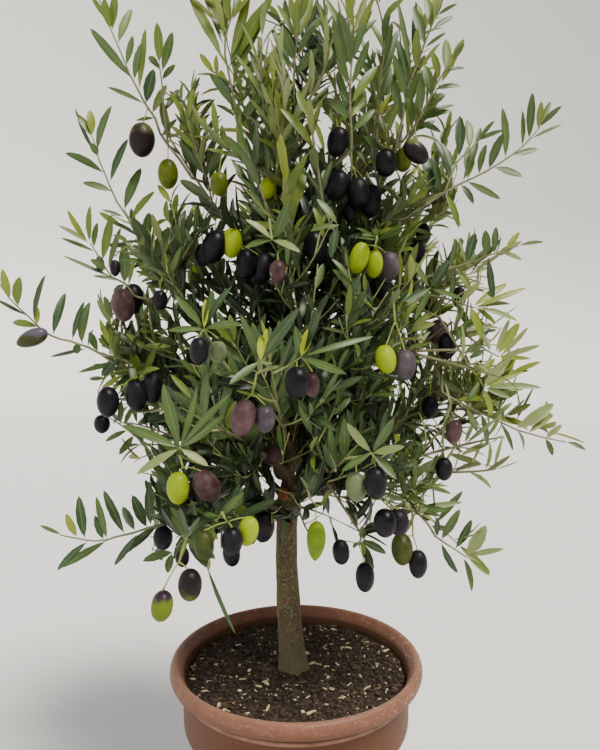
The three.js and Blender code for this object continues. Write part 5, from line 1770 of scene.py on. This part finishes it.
_rows = np.array(leaf_rows)
_roots, _growth = _rows[:, :3], _rows[:, 3:6]
_angle, _roll, _length, _bend, _twist, _bright, _owner, _width, _lift, _sweep = _rows[:, 6:].T
_along = unit(leaning(_growth, _angle, _roll) + UP * _lift[:, None])
_out = unit(_roots * [1, 1, 0] + [0.001, 0, 0])
_in_front = _roots[:, 1:2] < 80
_towards = _growth + FACES_OUT * _out + FACES_UP * UP + FACES_FRONT * level_way(270) * _in_front
_face = _towards - _along * (_towards * _along).sum(1, keepdims=True)
_flat = np.linalg.norm(_face, axis=1) < 0.12
_face[_flat] = leaning(_along[_flat], np.full(_flat.sum(), 90.0), _roll[_flat])
_face = unit(_face)
_twist = np.radians(_twist)[:, None]
_face = unit(_face * np.cos(_twist) + np.cross(_along, _face) * np.sin(_twist))
leaves = {
    "root": _roots, "along": _along, "face": _face, "length": _length, "bend": _bend, "bright": _bright,
    "owner": _owner.astype(int), "width": _width, "posed": np.zeros(len(_rows), bool), "sweep": _sweep,
}


def leaf_points(kept, shares):
    """Points along the midribs of leaves."""
    shares = np.array(shares)[None, :, None]
    length = kept["length"][:, None, None]
    drop = length * kept["bend"][:, None, None] / 2 * shares**2
    return kept["root"][:, None] + kept["along"][:, None] * length * shares - kept["face"][:, None] * drop


def keep(kept, which):
    """The leaves that a mask or a list of numbers picks."""
    return {name: values[which] for name, values in kept.items()}


def pictured_points(points):
    """The columns, rows and distances of points along leaves, in the same order."""
    return (values.reshape(points.shape[:2]) for values in to_picture(points.reshape(-1, 3)))


_trial = leaf_points(leaves, (0.45, 0.75, 1.0))
_fits = in_own_space(_trial[:, 0], leaves["owner"], LEAF_SLACK) | (leaves["owner"] == FREE)
for i in range(3):
    _fits &= clear_of_wood(_trial[:, i], LEAF_ROOM)
_fits &= ~in_clearing(_trial.reshape(-1, 3)).reshape(-1, 3).any(1)
leaves = keep(leaves, _fits)

# Leaves deep inside the crown are painted darker as the shade there, and those of the front
# are painted darker as the shade of the wands above them.
_middle = leaves["root"] + leaves["along"] * leaves["length"][:, None] / 2
_taper = (CROWN_TAPER[1] - _middle[:, 2]) / (CROWN_TAPER[1] - CROWN_TAPER[0])
_radius = CROWN_RADIUS * np.clip(_taper, 0.3, 1)
_depth = 1 - np.hypot(_middle[:, 0], _middle[:, 1]) / _radius / SHADE_SHARE
_under = (_middle[:, 1] < UNDER_FRONT) & (_middle[:, 2] < UNDER_TOP)
_under &= np.abs(_middle[:, 0] - UNDER_MIDDLE) < UNDER_HALF
_dimmed = leaves["bright"] - SHADE * np.clip(_depth, 0, 1) - UNDER_SHADE * _under
leaves["bright"] = np.where(leaves["bright"] < YOUNG, _dimmed, leaves["bright"])

for box, ahead, stays in WINDOWS:
    _column, _row, _ahead = pictured_points(leaf_points(leaves, (0.2, 0.55, 0.9)))
    _hides = within(_column, _row, box) & (_ahead < ahead)
    leaves = keep(leaves, ~(_hides.any(1) & (np.arange(len(_hides)) % stays > 0)))

# Posed leaves reach for their tips in the picture.
for column, row, y, kind, tips in [*ROSETTES, *POSED_LEAVES]:
    _centre = from_picture(column, row, y)
    _size, _bright, _wide = POSED_KINDS[kind]
    _draw = seeded(column * 7 + row)
    for i, (tip_column, tip_row) in enumerate(tips):
        _aside = from_picture(tip_column, tip_row, y) - _centre
        _length = max(_size * mix(0.7, 1.05, _draw()), np.linalg.norm(_aside) * 1.02)
        _forward = math.sqrt(max(0, _length**2 - _aside @ _aside))
        _tip = from_picture(tip_column, tip_row, y - min(_forward, 18) * (1 if i % 2 else 0.4))
        _face = FRONT + level_way(0) * mix(-0.8, 0.8, _draw())
        _width = LEAF_WIDTH * _wide[i % 3] * mix(0.8, 1.15, _draw())
        posed_leaves.append((_centre, _tip, _face, _width, _bright[i % 3]))
_posed = []
for i, (_root, _tip, _face, _width, _bright) in enumerate(posed_leaves):
    _draw = seeded(LEAF_SEEDS + i)
    _length = np.linalg.norm(_tip - _root)
    _along = (_tip - _root) / _length
    _posed.append({
        "root": _root, "along": _along, "face": unit(_face - _along * (_face @ _along)),
        "length": _length, "bend": mix(-0.1, 0.6, _draw()), "sweep": mix(-0.12, 0.12, _draw()),
        "bright": _bright + (0.1 * (_draw() - 0.5) if _bright < YOUNG else 0), "owner": 0,
        "width": _width / LEAF_WIDTH / (_length / LEAF_LENGTH) ** 0.6, "posed": True,
    })
leaves = {
    name: np.concatenate([values, np.array([leaf[name] for leaf in _posed])])
    for name, values in leaves.items()
}

# A leaf gives way where it would touch an olive, or hide the middle of one that is pictured.
_trial = leaf_points(leaves, (0.15, 0.3, 0.45, 0.6, 0.75, 0.9, 1.0))
_fits = np.ones(len(_trial), bool)
_column, _row, _ahead = pictured_points(_trial)
_tallness = OLIVE_LENGTH / OLIVE_WIDTH
for olive in olives:
    _offset = (_trial - olive.middle) / np.array([1, 1, _tallness])
    _fits &= (np.linalg.norm(_offset, axis=2) > OLIVE_WIDTH / 2 + 0.5).all(1)
    if olive.pictured:
        _olive_column, _olive_row, _olive_ahead = to_picture(olive.middle)
        _half = OLIVE_WIDTH / 2 * FOCUS / _olive_ahead
        _aside, _above = _column - _olive_column, _row - _olive_row
        _over = np.hypot(_aside, _above / _tallness) / _half < 1.1
        _fits &= ~(_over & (_ahead < _olive_ahead + 4)).any(1)
for column, row, y, _, _ in ROSETTES:
    _rosette_ahead = to_picture(from_picture(column, row, y))[2]
    _over = np.hypot(_column - column, _row - row) < ROSETTE_ROOM
    _fits &= leaves["posed"] | ~(_over & (_ahead < _rosette_ahead + 6)).any(1)
leaves = keep(leaves, _fits)

# A leaf's corners from root to tip: its share of the length, its side, whether it is on the
# lower face, and the half width there.
_corners = [(0, 0, 0, 0)]
for share, half in zip(LEAF_STATIONS, LEAF_OUTLINE):
    _corners += [(share, -1, 0, half), (share, 0, 0, half), (share, 1, 0, half), (share, 0, 1, half)]
_corners += [(1, 0, 0, 0)]
_shares, _sides, _lowers, _widths = np.array(_corners, float).T
LEAF_CORNERS = len(_corners)
_tip = LEAF_CORNERS - 1
_upper = [(0, 2, 1), (0, 3, 2)]
for i in range(1, 1 + 4 * (len(LEAF_STATIONS) - 1), 4):
    _upper += [(i, i + 1, i + 5, i + 4), (i + 1, i + 2, i + 6, i + 5)]
_upper += [(_tip - 4, _tip - 3, _tip), (_tip - 3, _tip - 2, _tip)]


def lower_corner(i):
    """The corner under one of the midrib, or the same corner at the edge."""
    return i + 2 if i % 4 == 2 and 0 < i < _tip else i


_lower = [tuple(lower_corner(i) for i in row[::-1]) for row in _upper]
_outline = np.array([i in (0, _tip) or i % 4 in (1, 3) for i in range(LEAF_CORNERS)])


def leaf_mesh(name, kept, skins):
    """Closed thin leaves, joined, with their upper and lower faces in their own skins."""
    count = len(kept["length"])
    length = kept["length"][:, None]
    bend = np.where(np.abs(kept["bend"]) < 0.01, 0.01, kept["bend"])[:, None]
    half = (LEAF_WIDTH / 2 * kept["width"] * (kept["length"] / LEAF_LENGTH) ** 0.6)[:, None]
    ahead = length * np.sin(bend * _shares) / bend
    drop = length * (1 - np.cos(bend * _shares)) / bend
    aside = half * _widths * _sides
    across = aside + kept["sweep"][:, None] * length * _shares**2
    raised = LEAF_FOLD * np.abs(aside) - _lowers * LEAF_THICKNESS - drop
    side = np.cross(kept["along"], kept["face"])
    vertices = kept["root"][:, None] + ahead[..., None] * kept["along"][:, None]
    vertices = vertices + across[..., None] * side[:, None] + raised[..., None] * kept["face"][:, None]
    faces, form = [], _upper + _lower
    for start in range(0, count * LEAF_CORNERS, LEAF_CORNERS):
        faces.extend(tuple(i + start for i in row) for row in form)
    which = np.tile([0] * len(_upper) + [1] * len(_lower), count)
    piece = make_piece(name, vertices.reshape(-1, 3), faces, skins, "foliage")
    piece.data.polygons.foreach_set("material_index", which.astype(np.int32))
    edges = np.zeros(len(piece.data.edges) * 2, np.int32)
    piece.data.edges.foreach_get("vertices", edges)
    sharp = _outline[edges % LEAF_CORNERS].reshape(-1, 2).all(1)
    piece.data.attributes.new("sharp_edge", "BOOLEAN", "EDGE").data.foreach_set("value", sharp)
    rib = np.tile(1 - np.abs(_sides), count).astype(np.float32)
    piece.data.attributes.new("midrib", "FLOAT", "POINT").data.foreach_set("value", rib)
    return piece


def leaf_skin(name, colour, pale, roughness, gloss):
    """Leathery skin in two tones of a colour, with a paler midrib."""
    material, shader = new_material(name, colour, roughness, Specular_IOR_Level=gloss)
    tone, _ = mottled(place_in(shader), scale=38, cover=0.5, softness=0.25)
    _, grain = mottled(place_in(shader), scale=500, cover=0.5, softness=0.2)
    midrib = from_attribute(shader, "midrib")
    skin = blended(tone, colour, pale)
    skin = blended(ramped(midrib, *RIB_EDGE, 0, RIB_STRENGTH), skin, RIB_COLOUR)
    dress(shader, skin, grain, strength=0.25, distance=0.35)
    return material


_index = np.digitize(leaves["bright"], TINT_STEPS)
first_leaves = None
for number, tint in enumerate(LEAF_TINTS):
    _dark, _pale, _under = LEAF_TINTS[tint]
    _skins = [
        leaf_skin("leaf_" + tint, _dark, _pale, roughness=0.4, gloss=0.36),
        leaf_skin("leaf_under_" + tint, _under, brighter(_under, 1.2), roughness=0.75, gloss=0.3),
    ]
    _mine = np.flatnonzero(_index == number)
    for part, start in enumerate(range(0, len(_mine), MOST_LEAVES)):
        _some = keep(leaves, _mine[start:start + MOST_LEAVES])
        piece = leaf_mesh(f"leaves_{tint}_{part + 1}", _some, _skins)
        first_leaves = first_leaves or piece
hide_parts(*["foliage_" + limb.name for limb in all_limbs])


# Studio: a plain pale round floor that sweeps up into a wall all round, a broad lamp over
# the camera, and a soft pale sky.
FLOOR = (0.86, 0.85, 0.83)
FLOOR_RADIUS = 6500
FLOOR_CURVE = 2500
WALL_HEIGHT = 6000
FLOOR_SEGMENTS = 96
LAMP_AIM = np.array([0, 0, 0.65])  # the crown's middle, in metres
SKY = (0.86, 0.92, 1.0)
SKY_STRENGTH = 0.33
SUN_FROM = (0.5, -0.5, 1.15)
SUN_ANGLE = 20  # degrees across: a broad lamp far off
SUN_STRENGTH = 4.8
SUN_COLOUR = (1.0, 0.96, 0.88)
FILL_PLACE = (-2.0, -2.4, 1.9)
FILL_SIZE = 1.6
FILL_POWER = 16
FILL_COLOUR = (0.94, 0.97, 1.0)

_sweep = [
    (FLOOR_RADIUS + FLOOR_CURVE * math.sin(turn), FLOOR_CURVE * (1 - math.cos(turn)))
    for turn in np.linspace(0, math.pi / 2, 16)
]
_profile = [(FLOOR_RADIUS / 2, 0), *_sweep, (FLOOR_RADIUS + FLOOR_CURVE, WALL_HEIGHT)]
_vertices = np.vstack([[0, 0, 0], *[ring(*place, FLOOR_SEGMENTS) for place in _profile]])
floor_paint, _ = new_material("floor_paint", FLOOR, 0.8)
floor = make_object("floor", _vertices, spun_faces(len(_profile) - 1, FLOOR_SEGMENTS), [floor_paint])

world = bpy.data.worlds.new("sky")
world.use_nodes = True
_background = world.node_tree.nodes["Background"]
_background.inputs["Color"].default_value = (*SKY, 1)
_background.inputs["Strength"].default_value = SKY_STRENGTH
bpy.context.scene.world = world


def add_lamp(name, kind, place, colour):
    """A lamp at a place that looks at the crown's middle."""
    lamp = bpy.data.objects.new(name, bpy.data.lights.new(name, kind))
    lamp.data.color = colour
    lamp.location = place
    way = LAMP_AIM - np.array(place)
    tilt = math.atan2(math.hypot(way[0], way[1]), -way[2])
    lamp.rotation_euler = (tilt, 0, math.atan2(way[1], way[0]) - math.pi / 2)
    bpy.context.scene.collection.objects.link(lamp)
    return lamp.data


key_light = add_lamp("key_light", "SUN", np.array(SUN_FROM) * 4 + LAMP_AIM, SUN_COLOUR)
key_light.angle = math.radians(SUN_ANGLE)
key_light.energy = SUN_STRENGTH
fill_light = add_lamp("fill_light", "AREA", FILL_PLACE, FILL_COLOUR)
fill_light.shape = "DISK"
fill_light.size = FILL_SIZE
fill_light.energy = FILL_POWER
